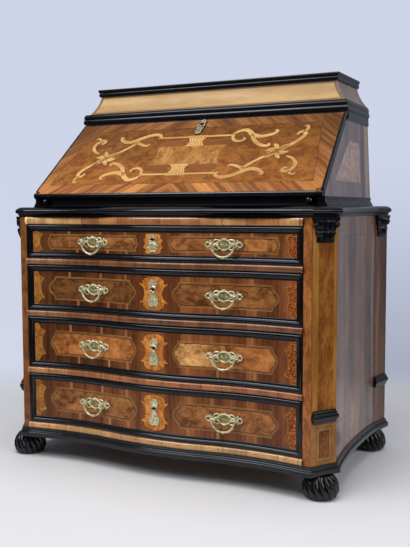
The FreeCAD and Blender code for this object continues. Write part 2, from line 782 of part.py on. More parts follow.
def make_desk_case():
    """Sides, back, writing bed, head rail and ceiling of the desk section."""
    start_y, start_z = fall_point(full_width_start, side_edge)
    points = [(start_y, base_top), (start_y, start_z), fall_point(head_start, side_edge),
              fall_point(head_start, head_edge), (waist_front, waist_top), (case_depth, waist_top),
              (case_depth, base_top)]
    left, right = pair(leaning_board(points, desk_side_thickness))
    save("desk_side_left", [left])
    save("desk_side_right", [right])

    room = between_sides(desk_side_thickness)
    bed_front = pivot_y + ear_radius + 2 * bed_gap
    bevel = -fall_half - bed_gap
    bevel_y, bevel_z = fall_point(0, bevel)
    bevel_foot = bevel_z + (bed_front - bevel_y) * math.tan(slope)
    bevel_head = bed_front + (bed_top - bevel_foot) / math.tan(slope)
    bed = prism_x([(bed_front, bed_floor), (bed_front, bevel_foot), (bevel_head, bed_top),
                   (back_inner, bed_top), (back_inner, bed_floor)], -desk_half_width, desk_half_width)
    save("writing_bed", [bed.common(between_sides(desk_side_thickness + bed_gap))])

    back = box(-desk_half_width, desk_half_width, back_inner, case_depth, bed_floor, waist_top)
    back = back.common(room)
    low_half = hood_half_width - hood_board
    high_half = low_half - hood_draw_in
    hollow = hood_draw_in * hood_hollow / 4
    hood_back = Part.Face(closed_wire([V(-low_half + hollow, back_inner, waist_top),
                                       V(low_half - hollow, back_inner, waist_top),
                                       V(high_half - hollow, back_inner, hood_top_floor),
                                       V(-high_half + hollow, back_inner, hood_top_floor)]))
    save("desk_back", [back, hood_back.extrude(V(0, back_thickness, 0))])

    rail_back = waist_front + head_rail_width
    rail = prism_x([rail_foot, fall_point(head_start, head_edge), (waist_front, waist_top),
                    (rail_back, waist_top), (rail_back, rail_foot[1])], -desk_half_width, desk_half_width)
    rail = rail.common(room).cut(fall_bolt(bolt_throw + lock_clearance, lock_clearance))
    ceiling = box(-desk_half_width, desk_half_width, rail_back, back_inner, waist_top - ceiling_thickness,
                  waist_top)
    save("desk_ceiling", [rail, ceiling.common(room)])


def make_waist():
    """Black double-bead moulding over the fall, with a flat band below it on each side."""
    levels = [(waist_floor + waist_height * rise, waist_reach * reach) for rise, reach in waist_profile]
    wires = []
    for z, reach in levels:
        half = desk_x(waist_front, z) + reach
        wires.append(closed_wire([V(-half, waist_front - reach, z), V(half, waist_front - reach, z),
                                  V(half, waist_front, z), V(-half, waist_front, z)]))
    front = loft(wires)
    band = waist_reach * waist_profile[0][1]
    strip = side_strip(waist_front, [(waist_floor - waist_band, band)] + levels)
    fall_room = prism_x([fall_point(0, side_edge), fall_point(head_start, side_edge),
                         fall_point(head_start, fall_length), fall_point(0, fall_length)],
                        0, desk_half_width + waist_reach * 2)
    save("waist_moulding", [front] + pair(strip.cut(fall_room)))


def back_to_front_wire(half, front, z):
    """Level outline from the back of the desk to a straight front."""
    return closed_wire([V(-half, front, z), V(half, front, z), V(half, case_depth, z),
                        V(-half, case_depth, z)])


def hood_wire(share, shrink):
    """Plan of the hood at a share of its height; it draws in along a hollow line."""
    drawn = share + hood_hollow * share * (1 - share)
    half = hood_half_width - hood_draw_in * drawn - shrink
    front = hood_front + hood_draw_back * drawn + shrink
    z = waist_top + hood_height * share
    return back_to_front_wire(half, front, z)


def make_hood():
    """Hollow-faced hood boards, front and sides, mitred, and the moulded top board."""
    shares = [step / hood_steps for step in range(hood_steps + 1)]
    outer = loft([hood_wire(share, 0) for share in shares])
    shell = outer.cut(loft([hood_wire(share, hood_board) for share in shares]))
    corner = V(hood_half_width, hood_front, 0)
    mitre = V(hood_draw_in, -hood_draw_back, 0) * (2 * hood_board / hood_draw_back)
    outside = corner + mitre
    inside = corner - mitre * 2
    wedge = prism_z([(-outside.x, outside.y), (outside.x, outside.y), (inside.x, inside.y),
                     (-inside.x, inside.y)], waist_top, hood_top_floor)
    save("hood_cove", shell.common(wedge).Solids + shell.cut(wedge).Solids)

    wires = []
    for rise, reach in top_profile:
        half = top_half_width + top_reach * reach
        front = top_front - top_reach * reach
        wires.append(back_to_front_wire(half, front, hood_top_floor + top_thickness * rise))
    save("hood_top", [loft(wires)])


def fall_block(half_width, start, end, low, high):
    """Block in the closed fall: across the middle, along the slope and through its thickness."""
    points = [fall_point(start, low), fall_point(end, low), fall_point(end, high), fall_point(start, high)]
    return prism_x(points, -half_width, half_width)


def fall_ear_room():
    """Room that the fall leaves at each lower corner for the ears that hold its pins."""
    reach = full_width_start
    room = fall_block(desk_half_width + fall_edging, -reach, reach, -fall_thickness, fall_thickness)
    return room.cut(fall_block(ear_inner - ear_gap, -reach, reach, -fall_thickness, fall_thickness))


def fall_bolt(throw, grow):
    """Bolt of the fall's lock, thrown by a distance and swollen by grow."""
    low = -fall_half + bolt_inset
    return fall_block(bolt_width / 2 + grow, fall_length - bolt_length - grow, fall_length + throw,
                      low - grow, low + bolt_thickness + grow)


def turned_to_fall(shape, along, out):
    """Piece made upright, facing front, laid on the closed fall at a place along and out from it."""
    y, z = fall_point(along, out)
    shape.rotate(V(0, 0, 0), V(1, 0, 0), fall_angle - 90)
    shape.translate(V(0, y, z))
    return shape


def make_fall():
    """Fall with black edging and a rounded foot, its pivot pins, keyhole plate, lock case and bolt."""
    foot_half = ear_inner - ear_gap
    bore_length = pin_reach + pin_end_gap
    bore = Part.makeCylinder(pivot_pin_radius + pin_clearance, bore_length,
                             V(foot_half - bore_length, pivot_y, pivot_z), V(1, 0, 0))
    slab = fall_block(desk_half_width, 0, fall_length, -fall_half, fall_half)
    whole = slab.common(between_sides(0.0)).cut(fall_ear_room())
    field = fall_block(desk_half_width, 0, fall_length - fall_edging, -fall_half, fall_half)
    field = field.common(between_sides(fall_edging))
    case_start = fall_length - fall_edging - lock_margin - lock_height
    case_end = case_start + lock_height
    case_top = lock_depth - fall_half
    gap = lock_clearance
    mortise = fall_block(lock_width / 2 + gap, case_start - gap, case_end + gap, -fall_half, case_top + gap)
    bolt_way = fall_bolt(0.0, gap)
    key_along = (case_start + case_end) / 2
    key_hole = turned_to_fall(keyhole(0, 0, -fall_thickness, fall_half), key_along, 0.0)
    panel = whole.common(field)
    for cutter in pair(bore) + [mortise, bolt_way, key_hole]:
        panel = panel.cut(cutter)
    save("fall_panel", [panel])

    rim = whole.cut(field).cut(bolt_way)
    foot = Part.makeCylinder(fall_half, 2 * foot_half, V(-foot_half, pivot_y, pivot_z), V(1, 0, 0))
    foot = foot.cut(fall_block(desk_half_width, 0, fall_thickness, -fall_thickness, fall_thickness))
    for cutter in pair(bore):
        foot = foot.cut(cutter)
    save("fall_edging", rim.Solids + [foot])

    pin_length = pin_reach + desk_side_thickness - ear_gap
    pin = Part.makeCylinder(pivot_pin_radius, pin_length, V(foot_half - pin_reach, pivot_y, pivot_z),
                            V(1, 0, 0))
    save("fall_pivot_pins", pair(pin))

    plate = fall_plate_blank(plate_thickness / 2)
    plate = plate.cut(keyhole(0, keyhole_rise, -plate_thickness, plate_thickness)).removeSplitter()
    plate = turned_to_fall(plate, key_along - keyhole_rise, fall_half + plate_thickness / 2)
    case = fall_block(lock_width / 2, case_start, case_end, -fall_half, case_top).cut(bolt_way)
    save("fall_lock", [plate, case])
    save("fall_bolt", [fall_bolt(0.0, 0.0)])


def make_lopers():
    """Pull-out supports of the fall with their turned knobs."""
    floor = desk_floor + sill_height + loper_gap
    ceiling = bed_floor - 2 * loper_gap
    half = loper_width / 2
    bar = box(loper_x - half, loper_x + half, loper_front, loper_back, floor, ceiling)
    section = [V(loper_knob_radius * reach, -loper_knob_length * share, 0) for share, reach in knob_profile]
    knob = Part.Face(closed_wire(section)).revolve(V(0, 0, 0), V(0, 1, 0), 360)
    knob.translate(V(loper_x, loper_front, (floor + ceiling) / 2))
    for side, pieces in zip(("left", "right"), zip(pair(bar), pair(knob))):
        save("loper_%s" % side, list(pieces))


def make_nest():
    """Compartments behind the fall: two bays with a drawer and pigeonholes, and an open middle bay."""
    floor = bed_top
    ceiling = nest_ceiling
    shelf = floor + nest_drawer_opening
    side = box(nest_half_width - nest_board, nest_half_width, nest_front, back_inner, floor, ceiling)
    upright = box(nest_bay - nest_board, nest_bay, nest_front, back_inner, floor, ceiling)
    bay_edge = nest_half_width - nest_board
    shelf_board = box(nest_bay, bay_edge, nest_front, back_inner, shelf, shelf + nest_board)
    middle = (nest_bay + bay_edge) / 2
    half = nest_board / 2
    divider = box(middle - half, middle + half, nest_front, back_inner, shelf + nest_board, ceiling)
    lid = box(-nest_half_width, nest_half_width, nest_front, back_inner, ceiling, ceiling + nest_board)
    boards = [lid]
    for piece in (side, upright, shelf_board, divider):
        boards += pair(piece)
    save("pigeonhole_nest", boards)

    gap = nest_drawer_gap
    wall = nest_drawer_board
    x0 = nest_bay + gap
    x1 = bay_edge - gap
    z0 = floor + gap
    z1 = shelf - gap
    back = back_inner - gap
    body = nest_front + wall
    drawer = [box(x0, x1, nest_front, body, z0, z1), box(x0, x0 + wall, body, back, z0, z1),
              box(x1 - wall, x1, body, back, z0, z1), box(x0 + wall, x1 - wall, back - wall, back, z0, z1),
              box(x0 + wall, x1 - wall, body, back - wall, z0, z0 + wall)]
    seat = V(middle, nest_front, (z0 + z1) / 2)
    knob = Part.makeCone(nest_knob_radius / 2, nest_knob_radius, nest_knob_length, seat, V(0, -1, 0))
    drawer.append(knob)
    save("nest_drawer_right", drawer)
    save("nest_drawer_left", [mirrored(piece) for piece in drawer])


os.makedirs("parts", exist_ok=True)
make_feet()
make_plinth()
make_chest_case()
make_ornaments()
make_rails()
make_drawers()
make_desk_base()
make_desk_case()
make_waist()
make_hood()
make_fall()
make_lopers()
make_nest()
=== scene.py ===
import math

import bmesh
import bpy
import numpy as np
from bpy.props import FloatProperty, FloatVectorProperty, PointerProperty
from mathutils import Matrix, Vector


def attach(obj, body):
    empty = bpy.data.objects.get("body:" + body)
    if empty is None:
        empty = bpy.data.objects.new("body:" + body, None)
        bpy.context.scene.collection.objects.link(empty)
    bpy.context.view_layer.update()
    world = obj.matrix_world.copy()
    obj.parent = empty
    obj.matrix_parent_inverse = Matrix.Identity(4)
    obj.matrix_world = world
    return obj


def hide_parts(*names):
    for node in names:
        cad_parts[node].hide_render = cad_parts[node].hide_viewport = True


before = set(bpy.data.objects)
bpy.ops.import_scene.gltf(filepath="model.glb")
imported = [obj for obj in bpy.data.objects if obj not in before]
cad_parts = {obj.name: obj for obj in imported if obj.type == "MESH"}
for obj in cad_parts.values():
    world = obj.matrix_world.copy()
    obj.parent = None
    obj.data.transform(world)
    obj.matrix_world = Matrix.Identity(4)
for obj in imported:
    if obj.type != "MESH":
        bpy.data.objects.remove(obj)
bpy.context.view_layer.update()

bl_info = {
    "name": "Slant-front desk",
    "version": (1, 0, 0),
    "blender": (4, 5, 0),
    "location": "3D View > Sidebar > Desk",
    "description": "Mouldings, brass, marquetry and finishes of a slant-front desk on a chest of drawers",
    "category": "Object",
}

# Plan of the chest, in metres. The frame's zero of depth is MIDDLE_Y behind the stiles.
MIDDLE_Y = 0.277
CASE_DEPTH = 0.572
OPENING_HALF = 0.433
BOW = 0.005
HOLLOW = 0.015
HOLLOW_X = 0.273
HOLLOW_RADIUS = ((OPENING_HALF - HOLLOW_X) ** 2 + HOLLOW ** 2) / (2 * HOLLOW)
BOW_RADIUS = (HOLLOW_X ** 2 + (BOW + HOLLOW) ** 2) / (2 * (BOW + HOLLOW)) - HOLLOW_RADIUS
PANEL_RECESS = 0.003
DRAWER_HALF = 0.432
FRAME_WIDTH = 0.019
HANDLE_X = 0.207
BAIL_OUT = 0.014
DRAWERS = {1: (0.6004, 0.6985), 2: (0.4454, 0.5805), 3: (0.2749, 0.4255), 4: (0.1069, 0.2550)}
RAILS = {"top_rail": ((0.7000, 0.7225),), "bottom_rail": ((0.0885, 0.1065),),
         "drawer_rails": ((0.2565, 0.2745), (0.4270, 0.4450), (0.5820, 0.6000))}
RAIL_PROUD = 0.0066
RAIL_NAILS = (-0.385, -0.293, -0.167, -0.058, 0.001, 0.075, 0.192, 0.300, 0.385)
RAIL_BACK = 0.045
STILE_X = 0.455
SIDE_HOLLOW = 0.012
FOOT_HEIGHT = 0.062
PLINTH_HEIGHT = 0.0265
PLINTH_INSIDE = -0.045
CHEST_TOP_FLOOR = 0.7225
FRONT_POINTS = 109
BOTH_SIDES = ((1, 1, 1), (-1, 1, 1))
LEFT_RIGHT = ((1, 1), (-1, 1))

# Corners of the chest's right half: x and depth behind the stiles, and how far each moves per unit of overhang
CHEST_CORNERS = (((STILE_X, 0.0), (0.5457, -1.0)), ((0.500, 0.070), (1.0458, -0.2226)),
                 ((0.484, 0.490), (0.9927, -0.1342)), ((0.500, CASE_DEPTH), (1.0189, 0.0)))

# The fall's pivot and slope, and the desk's leaning sides
PIVOT_Y = 0.078
PIVOT_Z = 0.7837
FALL_SLOPE = math.radians(41.7)
FALL_FACE = 0.009
FALL_UNDER = 0.0093
FALL_GAP = 0.0005
DESK_HALF = 0.458
LEAN_UP = 0.045
LEAN_BACK = 0.026

# Waist, hood and top board: depths behind the stiles, heights, half widths and the reach of their mouldings
WAIST_FRONT = 0.3307
WAIST_FLOOR = 1.0188
WAIST_TOP = 1.0508
WAIST_REACH = 0.0065
WAIST_ROOT = 0.45
CHEEK_DROP = 0.025
CHEEK_REAR = 0.3415
HOOD_TOP = 1.1118
HOOD_HALF = 0.4346
HOOD_DRAW = 0.0335
HOOD_FRONT = 0.3427
HOOD_FRONT_DRAW = 0.0215
HOOD_HOLLOW = 0.7
HOOD_BOARD = 0.0219
TOP_HALF = 0.404
TOP_FRONT = 0.3612
TOP_REACH = 0.005
TOP_HEIGHT = 0.0219


def colour_property(label, words, value):
    """A colour that the panel shows, in linear light."""
    return FloatVectorProperty(name=label, description=words, default=value, size=3, min=0, max=1,
                               subtype="COLOR")


def power_property(label, words, watts):
    """Power of a light that the panel shows."""
    return FloatProperty(name=label, description=words, default=watts, min=0, unit="POWER")


class DeskColours(bpy.types.PropertyGroup):
    """Colours of the woods, the black polish and the brass."""
    walnut_dark: colour_property("Walnut, dark", "Darker veneer of the drawer ground", (0.084, 0.024, 0.008))
    walnut_light: colour_property("Walnut, light", "Lighter veneer of the drawer ground", (0.240, 0.080, 0.025))
    burl_dark: colour_property("Burl, dark", "Dark figure of the burl panels", (0.070, 0.022, 0.006))
    burl_light: colour_property("Burl, light", "Light figure of the burl panels", (0.290, 0.113, 0.033))
    amber_dark: colour_property("Amber burl, dark", "Dark figure of the amber burl", (0.260, 0.085, 0.014))
    amber_light: colour_property("Amber burl, light", "Light figure of the amber burl", (0.560, 0.230, 0.046))
    maple_dark: colour_property("Maple, dark", "Shaded grain of the strapwork", (0.420, 0.205, 0.060))
    maple_light: colour_property("Maple, light", "Light grain of the strapwork", (0.640, 0.390, 0.140))
    band_dark: colour_property("Banding, dark", "Dark grain of the fall's cross banding", (0.125, 0.034, 0.008))
    band_light: colour_property("Banding, light", "Light grain of the fall's cross banding", (0.440, 0.180, 0.050))
    cove_dark: colour_property("Cove, dark", "Dark grain of the hood", (0.340, 0.190, 0.060))
    cove_light: colour_property("Cove, light", "Light grain of the hood", (0.490, 0.312, 0.124))
    # The sides' grey cast is partly a painted reflection of the pale backdrop on brown walnut grain
    side_dark_painted_reflection: colour_property("Side, dark", "Dark grain of the faded sides", (0.090, 0.048, 0.032))
    side_light_painted_reflection: colour_property("Side, light", "Light grain of the faded sides", (0.280, 0.162, 0.108))
    pilaster_dark: colour_property("Pilaster, dark", "Dark figure of the pilasters", (0.120, 0.032, 0.004))
    pilaster_light: colour_property("Pilaster, light", "Light figure of the pilasters", (0.380, 0.130, 0.018))
    black: colour_property("Black polish", "Blackened wood", (0.0035, 0.0035, 0.0045))
    brass: colour_property("Brass", "Worn raised brass", (0.780, 0.700, 0.450))
    tarnish: colour_property("Tarnish", "Darkened hollows of the brass", (0.330, 0.300, 0.155))
    plain_dark: colour_property("Plain wood, dark", "Dark grain of the unseen boards", (0.190, 0.105, 0.048))
    plain_light: colour_property("Plain wood, light", "Light grain of the unseen boards", (0.400, 0.260, 0.135))


class DeskSizes(bpy.types.PropertyGroup):
    """Sizes of the fine work that is added to the frame."""
    inlay: FloatProperty(name="Inlay height", description="How far inlay stands over its ground",
                         default=0.00025, min=0.0001, max=0.001, unit="LENGTH")
    string: FloatProperty(name="Stringing", description="Width of a dark inlaid line", default=0.0022,
                          min=0.0005, max=0.01, unit="LENGTH")
    strap_share: FloatProperty(name="Strapwork", description="Width of the maple straps, as a share of the drawing",
                               default=1.4, min=0.5, max=3.0, subtype="FACTOR")


class DeskStage(bpy.types.PropertyGroup):
    """Camera and light of the picture."""
    lens: FloatProperty(name="Lens", description="Focal length", default=54.23, min=10, max=200,
                        subtype="DISTANCE_CAMERA")
    key: power_property("Key light", "Power of the large front light", 112.0)
    top: power_property("Top light", "Power of the high front light", 58.0)
    rim: power_property("Side light", "Power of the light on the right side", 36.0)
    gloss: power_property("Strip light", "Power of the strip that only shows as a highlight", 40.0)
    overhead: power_property("Floor light", "Power of the light that only falls on the floor", 52.0)
    backdrop: colour_property("Backdrop", "Pale backdrop", (0.620, 0.660, 0.810))
    floor: colour_property("Floor", "Pale floor", (0.780, 0.780, 0.790))


def column(values):
    """Values as one column of an array, to set against a row."""
    return np.asarray(values, float)[:, None]


def circle(count):
    """Angles of a full turn."""
    return np.linspace(0, 2 * np.pi, count)


def in_metres(points):
    """Points in metres from points in millimetres."""
    return points / 1000


def front_y(x, out=0.0):
    """Depth of the serpentine front at x, moved outwards by out: a bowed arc tangent to two hollow arcs."""
    x = np.abs(x)
    bowed = BOW_RADIUS - BOW - np.sqrt(np.maximum((BOW_RADIUS + out) ** 2 - x ** 2, 0))
    hollow = HOLLOW - HOLLOW_RADIUS + np.sqrt(np.maximum((HOLLOW_RADIUS - out) ** 2 - (x - HOLLOW_X) ** 2, 0))
    turn = HOLLOW_X * (BOW_RADIUS + out) / (BOW_RADIUS + HOLLOW_RADIUS)
    return np.where(x <= turn, bowed, hollow) - MIDDLE_Y


def front_slope(x):
    """dy/dx of the serpentine front."""
    step = 1e-4
    return (front_y(x + step) - front_y(x - step)) / (2 * step)


def on_front(x, z, out):
    """Points at x and z on the drawer face, moved along its normal (slope, -1) by out."""
    x, z, out = np.broadcast_arrays(x, z, out)
    slope = front_slope(x)
    length = np.sqrt(1 + slope ** 2)
    return np.stack([x + out * slope / length, front_y(x) - out / length, z], -1)


def on_panel(x, z, out):
    """Points on the sunk panel of a drawer front."""
    return on_front(x, z, np.asarray(out) - PANEL_RECESS)


def on_fall(x, along, out):
    """Points of the fall: along is up its slope from the pivot, out is away from its middle plane."""
    x, along, out = np.broadcast_arrays(x, along, out)
    up = math.sin(FALL_SLOPE)
    back = math.cos(FALL_SLOPE)
    return np.stack([x, PIVOT_Y - MIDDLE_Y + along * back - out * up, PIVOT_Z + along * up + out * back], -1)


def desk_half(y, z):
    """Half width of the desk's leaning sides at depth y behind the stiles and height z."""
    return DESK_HALF - LEAN_UP * (z - PIVOT_Z) - LEAN_BACK * (y - PIVOT_Y)


def profile(*steps):
    """Moulding line through points: each step is (across, up, bulge); the line to it is p + (q - p) t,
    pushed sideways by bulge * length * 4 t (1 - t)."""
    rows = [np.array([steps[0][:2]], float)]
    t = np.linspace(0, 1, 9)[1:, None]
    for start, end in zip(steps[:-1], steps[1:]):
        p = np.array(start[:2], float)
        q = np.array(end[:2], float)
        side = np.array([(q - p)[1], -(q - p)[0]])
        share = t if end[2] else np.ones((1, 1))
        rows.append(p + (q - p) * share + side * (4 * end[2] * share * (1 - share)))
    return np.concatenate(rows)


def smooth_line(points, count):
    """Smooth path through points: a cubic between each two, with half the chord of the neighbours as slope."""
    points = np.asarray(points, float)
    ends = np.concatenate([[2 * points[0] - points[1]], points, [2 * points[-1] - points[-2]]])
    place = np.linspace(0, len(points) - 1, count)
    index = np.minimum(place.astype(int), len(points) - 2)
    t = (place - index)[:, None]
    a, b, c, d = (ends[index + step] for step in range(4))
    return b + t / 2 * (c - a + t * (2 * a - 5 * b + 4 * c - d + t * (3 * (b - c) + d - a)))


class Sheets:
    """Grids of points gathered into one mesh, turned so that their faces look outwards."""

    def __init__(self):
        self.points = []
        self.faces = []
        self.places = []
        self.total = 0

    def grid(self, points, out=None):
        """Adds points[row, column]. Faces look along out, or away from the grid's middle where out is None."""
        rows, columns = points.shape[:2]
        index = np.arange(rows * columns).reshape(rows, columns)
        faces = np.stack([index[:-1, :-1], index[1:, :-1], index[1:, 1:], index[:-1, 1:]], -1).reshape(-1, 4)
        flat = points.reshape(-1, 3)
        corners = flat[faces]
        normals = np.cross(corners[:, 2] - corners[:, 0], corners[:, 3] - corners[:, 1])
        away = np.asarray(out, float) if out is not None else corners.mean(1) - flat.mean(0)
        if (normals * away).sum() < 0:
            faces = faces[:, ::-1]
        uv = np.stack(np.meshgrid(np.linspace(0, 1, columns), np.linspace(0, 1, rows)), -1)
        self.points.append(flat)
        self.faces.append(faces + self.total)
        self.places.append(uv.reshape(-1, 2))
        self.total += len(flat)

    def tube(self, path, radius, flat=1.0, across=(0, 0, 1), sides=10):
        """Round bar along path: a circle of that radius round each point, with closed ends. Across is a
        direction out of the path's plane, and flat thins the bar that way."""
        path = np.asarray(path, float)
        along = np.gradient(path, axis=0)
        along /= np.linalg.norm(along, axis=1, keepdims=True)
        side = np.cross(along, np.asarray(across, float))
        side /= np.linalg.norm(side, axis=1, keepdims=True)
        lift = np.cross(side, along)
        radius = np.broadcast_to(radius, len(path))[:, None, None]
        angle = circle(sides + 1)[None, :, None]
        ring = side[:, None] * np.cos(angle) + lift[:, None] * np.sin(angle) * flat
        points = path[:, None] + ring * radius
        ends = [np.broadcast_to(path[i], points[:1].shape) for i in (0, -1)]
        self.grid(np.concatenate([ends[0], points, ends[1]]))

    def moved(self, place):
        """Puts every point through place(points)."""
        self.points = [place(points) for points in self.points]
        return self

    def add(self, other):
        """Takes in another set of grids."""
        self.points += other.points
        self.faces += [faces + self.total for faces in other.faces]
        self.places += other.places
        self.total += other.total

    def piece(self, name, material, body, slot, hides=(), sharp=38):
        """Makes the mesh and its object, which moves with body and stands for the hidden CAD nodes."""
        faces = np.concatenate(self.faces)
        mesh = bpy.data.meshes.new(name)
        mesh.from_pydata(np.concatenate(self.points).tolist(), [], faces.tolist())
        layer = mesh.uv_layers.new(name="UVMap")
        layer.data.foreach_set("uv", np.concatenate(self.places)[faces.ravel()].ravel())
        shape = bmesh.new()
        shape.from_mesh(mesh)
        bmesh.ops.remove_doubles(shape, verts=shape.verts, dist=2e-6)
        shape.to_mesh(mesh)
        shape.free()
        mesh.polygons.foreach_set("use_smooth", np.ones(len(mesh.polygons), bool))
        mesh.set_sharp_from_angle(angle=math.radians(sharp))
        mesh.materials.append(material)
        obj = bpy.data.objects.new(name, mesh)
        bpy.context.scene.collection.objects.link(obj)
        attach(obj, body)
        if hides:
            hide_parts(*hides)

    def black_piece(self, name, node, sharp=38):
        """A blackened piece of the fixed desk, which stands for one node."""
        self.piece(name, FINISHES["black"], "desk", "blackened_wood", [node], sharp)


class Shade:
    """Short ways to add and join shader nodes in one tree."""

    def __init__(self, tree):
        self.tree = tree

    def add(self, kind, inputs=None, **settings):
        """New node with its settings; inputs maps a socket's name or number to a value or a socket."""
        node = self.tree.nodes.new(kind)
        for name, value in settings.items():
            setattr(node, name, value)
        for name, value in (inputs or {}).items():
            self.feed(node.inputs[name], value)
        return node

    def feed(self, socket, value):
        """Links a socket, or sets its own value."""
        if isinstance(value, bpy.types.NodeSocket):
            self.tree.links.new(value, socket)
        elif socket.type == "RGBA":
            socket.default_value = (*value[:3], 1.0)
        else:
            socket.default_value = value

    def math(self, operation, *values):
        return self.add("ShaderNodeMath", dict(enumerate(values)), operation=operation).outputs[0]

    def less(self, first, second):
        return self.math("SUBTRACT", first, second)

    def times(self, first, second):
        return self.math("MULTIPLY", first, second)

    def mix(self, share, first, second, mode="MIX"):
        return self.add("ShaderNodeMix", {0: share, 6: first, 7: second}, data_type="RGBA", blend_type=mode).outputs[2]

    def ramp(self, value, low, high):
        """0 below low, 1 above high, smooth between."""
        return self.add("ShaderNodeMapRange", {"Value": value, "From Min": low, "From Max": high},
                        interpolation_type="SMOOTHSTEP").outputs[0]

    def between(self, value, low, high, soft):
        """1 where value lies between low and high."""
        return self.times(self.ramp(value, low - soft, low + soft), self.ramp(value, high + soft, high - soft))

    def stretch(self, vector, scale):
        return self.add("ShaderNodeVectorMath", {0: vector, 1: scale}, operation="MULTIPLY").outputs[0]

    def noise(self, vector, scale, detail=3.0, rough=0.5, distort=0.0):
        return self.add("ShaderNodeTexNoise", {"Vector": vector, "Scale": scale, "Detail": detail,
                                               "Roughness": rough, "Distortion": distort}).outputs["Fac"]

    def random(self, value):
        """The same random share for equal values."""
        return self.add("ShaderNodeTexWhiteNoise", {"W": value}, noise_dimensions="1D").outputs["Value"]

    def split(self, vector):
        return self.add("ShaderNodeSeparateXYZ", {0: vector}).outputs

    def place(self, x, y, z):
        return self.add("ShaderNodeCombineXYZ", {0: x, 1: y, 2: z}).outputs[0]

    def here(self):
        """Place in the desk's own frame."""
        return self.add("ShaderNodeTexCoord").outputs["Object"]

    def bump(self, height, strength, distance):
        return self.add("ShaderNodeBump", {"Height": height, "Strength": strength, "Distance": distance}).outputs[0]


def effect(name, inputs, outputs):
    """New shader node group with named sockets, and its input and output nodes."""
    tree = bpy.data.node_groups.new(name, "ShaderNodeTree")
    for socket, kind in inputs:
        tree.interface.new_socket(socket, in_out="INPUT", socket_type=kind)
    for socket, kind in outputs:
        tree.interface.new_socket(socket, in_out="OUTPUT", socket_type=kind)
    shade = Shade(tree)
    return shade, shade.add("NodeGroupInput").outputs, shade.add("NodeGroupOutput").inputs


WOOD_INPUTS = (("Vector", "NodeSocketVector"), ("Light", "NodeSocketColor"), ("Dark", "NodeSocketColor"))
WOOD_OUTPUTS = (("Color", "NodeSocketColor"), ("Height", "NodeSocketFloat"))


def make_grain():
    """Straight grain along X: broad bands, rings bent by noise, and fine pores."""
    shade, given, result = effect("straight grain", WOOD_INPUTS, WOOD_OUTPUTS)
    bands = shade.noise(shade.stretch(given["Vector"], (2.2, 26, 26)), 1.0, 3, 0.55, 0.4)
    bend = shade.noise(shade.stretch(given["Vector"], (3.0, 12, 12)), 1.0, 2, 0.5, 0.2)
    across = shade.split(given["Vector"])[1]
    place = shade.math("MULTIPLY_ADD", across, 420.0, shade.times(bend, 34.0))
    rings = shade.math("MULTIPLY_ADD", shade.math("SINE", place), 0.5, 0.5)
    pores = shade.noise(shade.stretch(given["Vector"], (30, 900, 900)), 1.0, 3, 0.6)
    share = shade.math("MULTIPLY_ADD", shade.ramp(bands, 0.36, 0.64), 0.66, shade.times(rings, 0.2))
    share = shade.math("MULTIPLY_ADD", shade.ramp(pores, 0.4, 0.62), 0.26, shade.math("ADD", share, -0.06))
    shade.feed(result["Color"], shade.mix(share, given["Dark"], given["Light"]))
    shade.feed(result["Height"], shade.math("MULTIPLY_ADD", pores, 0.7, shade.times(rings, 0.3)))


def make_burl():
    """Burl: swirled clouds, dark veins and small dark eyes."""
    shade, given, result = effect("burl figure", WOOD_INPUTS, WOOD_OUTPUTS)
    clouds = shade.noise(given["Vector"], 26.0, 3, 0.5, 1.6)
    veins = shade.noise(given["Vector"], 70.0, 3, 0.5, 2.2)
    eyes = shade.add("ShaderNodeTexVoronoi", {"Vector": given["Vector"], "Scale": 150.0})
    spots = shade.ramp(eyes.outputs["Distance"], 0.16, 0.4)
    share = shade.math("MULTIPLY_ADD", shade.ramp(clouds, 0.36, 0.64), 0.62,
                       shade.times(shade.ramp(veins, 0.38, 0.6), 0.38))
    share = shade.times(share, shade.math("MULTIPLY_ADD", spots, 0.3, 0.72))
    shade.feed(result["Color"], shade.mix(share, given["Dark"], given["Light"]))
    shade.feed(result["Height"], veins)


def make_polish():
    """Old polish: cloudy roughness, fine scratches and a little uneven thickness."""
    shade, given, result = effect("old polish", (("Vector", "NodeSocketVector"), ("Smooth", "NodeSocketFloat"),
                                                 ("Dull", "NodeSocketFloat")),
                                  (("Roughness", "NodeSocketFloat"), ("Height", "NodeSocketFloat"),
                                   ("Wear", "NodeSocketFloat")))
    cloud = shade.noise(given["Vector"], 14.0, 4, 0.6)
    rub = shade.noise(given["Vector"], 90.0, 3, 0.6)
    mixed = shade.math("MULTIPLY_ADD", cloud, 0.7, shade.times(rub, 0.3))
    share = shade.ramp(mixed, 0.32, 0.7)
    spread = shade.less(given["Dull"], given["Smooth"])
    shade.feed(result["Roughness"], shade.math("MULTIPLY_ADD", share, spread, given["Smooth"]))
    shade.feed(result["Height"], shade.noise(given["Vector"], 38.0, 3, 0.5))
    shade.feed(result["Wear"], shade.ramp(rub, 0.62, 0.74))


def use(shade, name, **inputs):
    """Places a node group in a material."""
    node = shade.add("ShaderNodeGroup")
    node.node_tree = bpy.data.node_groups[name]
    for socket, value in inputs.items():
        shade.feed(node.inputs[socket], value)
    return node.outputs


def new_finish(name):
    """New material and its Principled shader."""
    material = bpy.data.materials.new(name)
    material.use_nodes = True
    shade = Shade(material.node_tree)
    return material, shade, material.node_tree.nodes["Principled BSDF"]


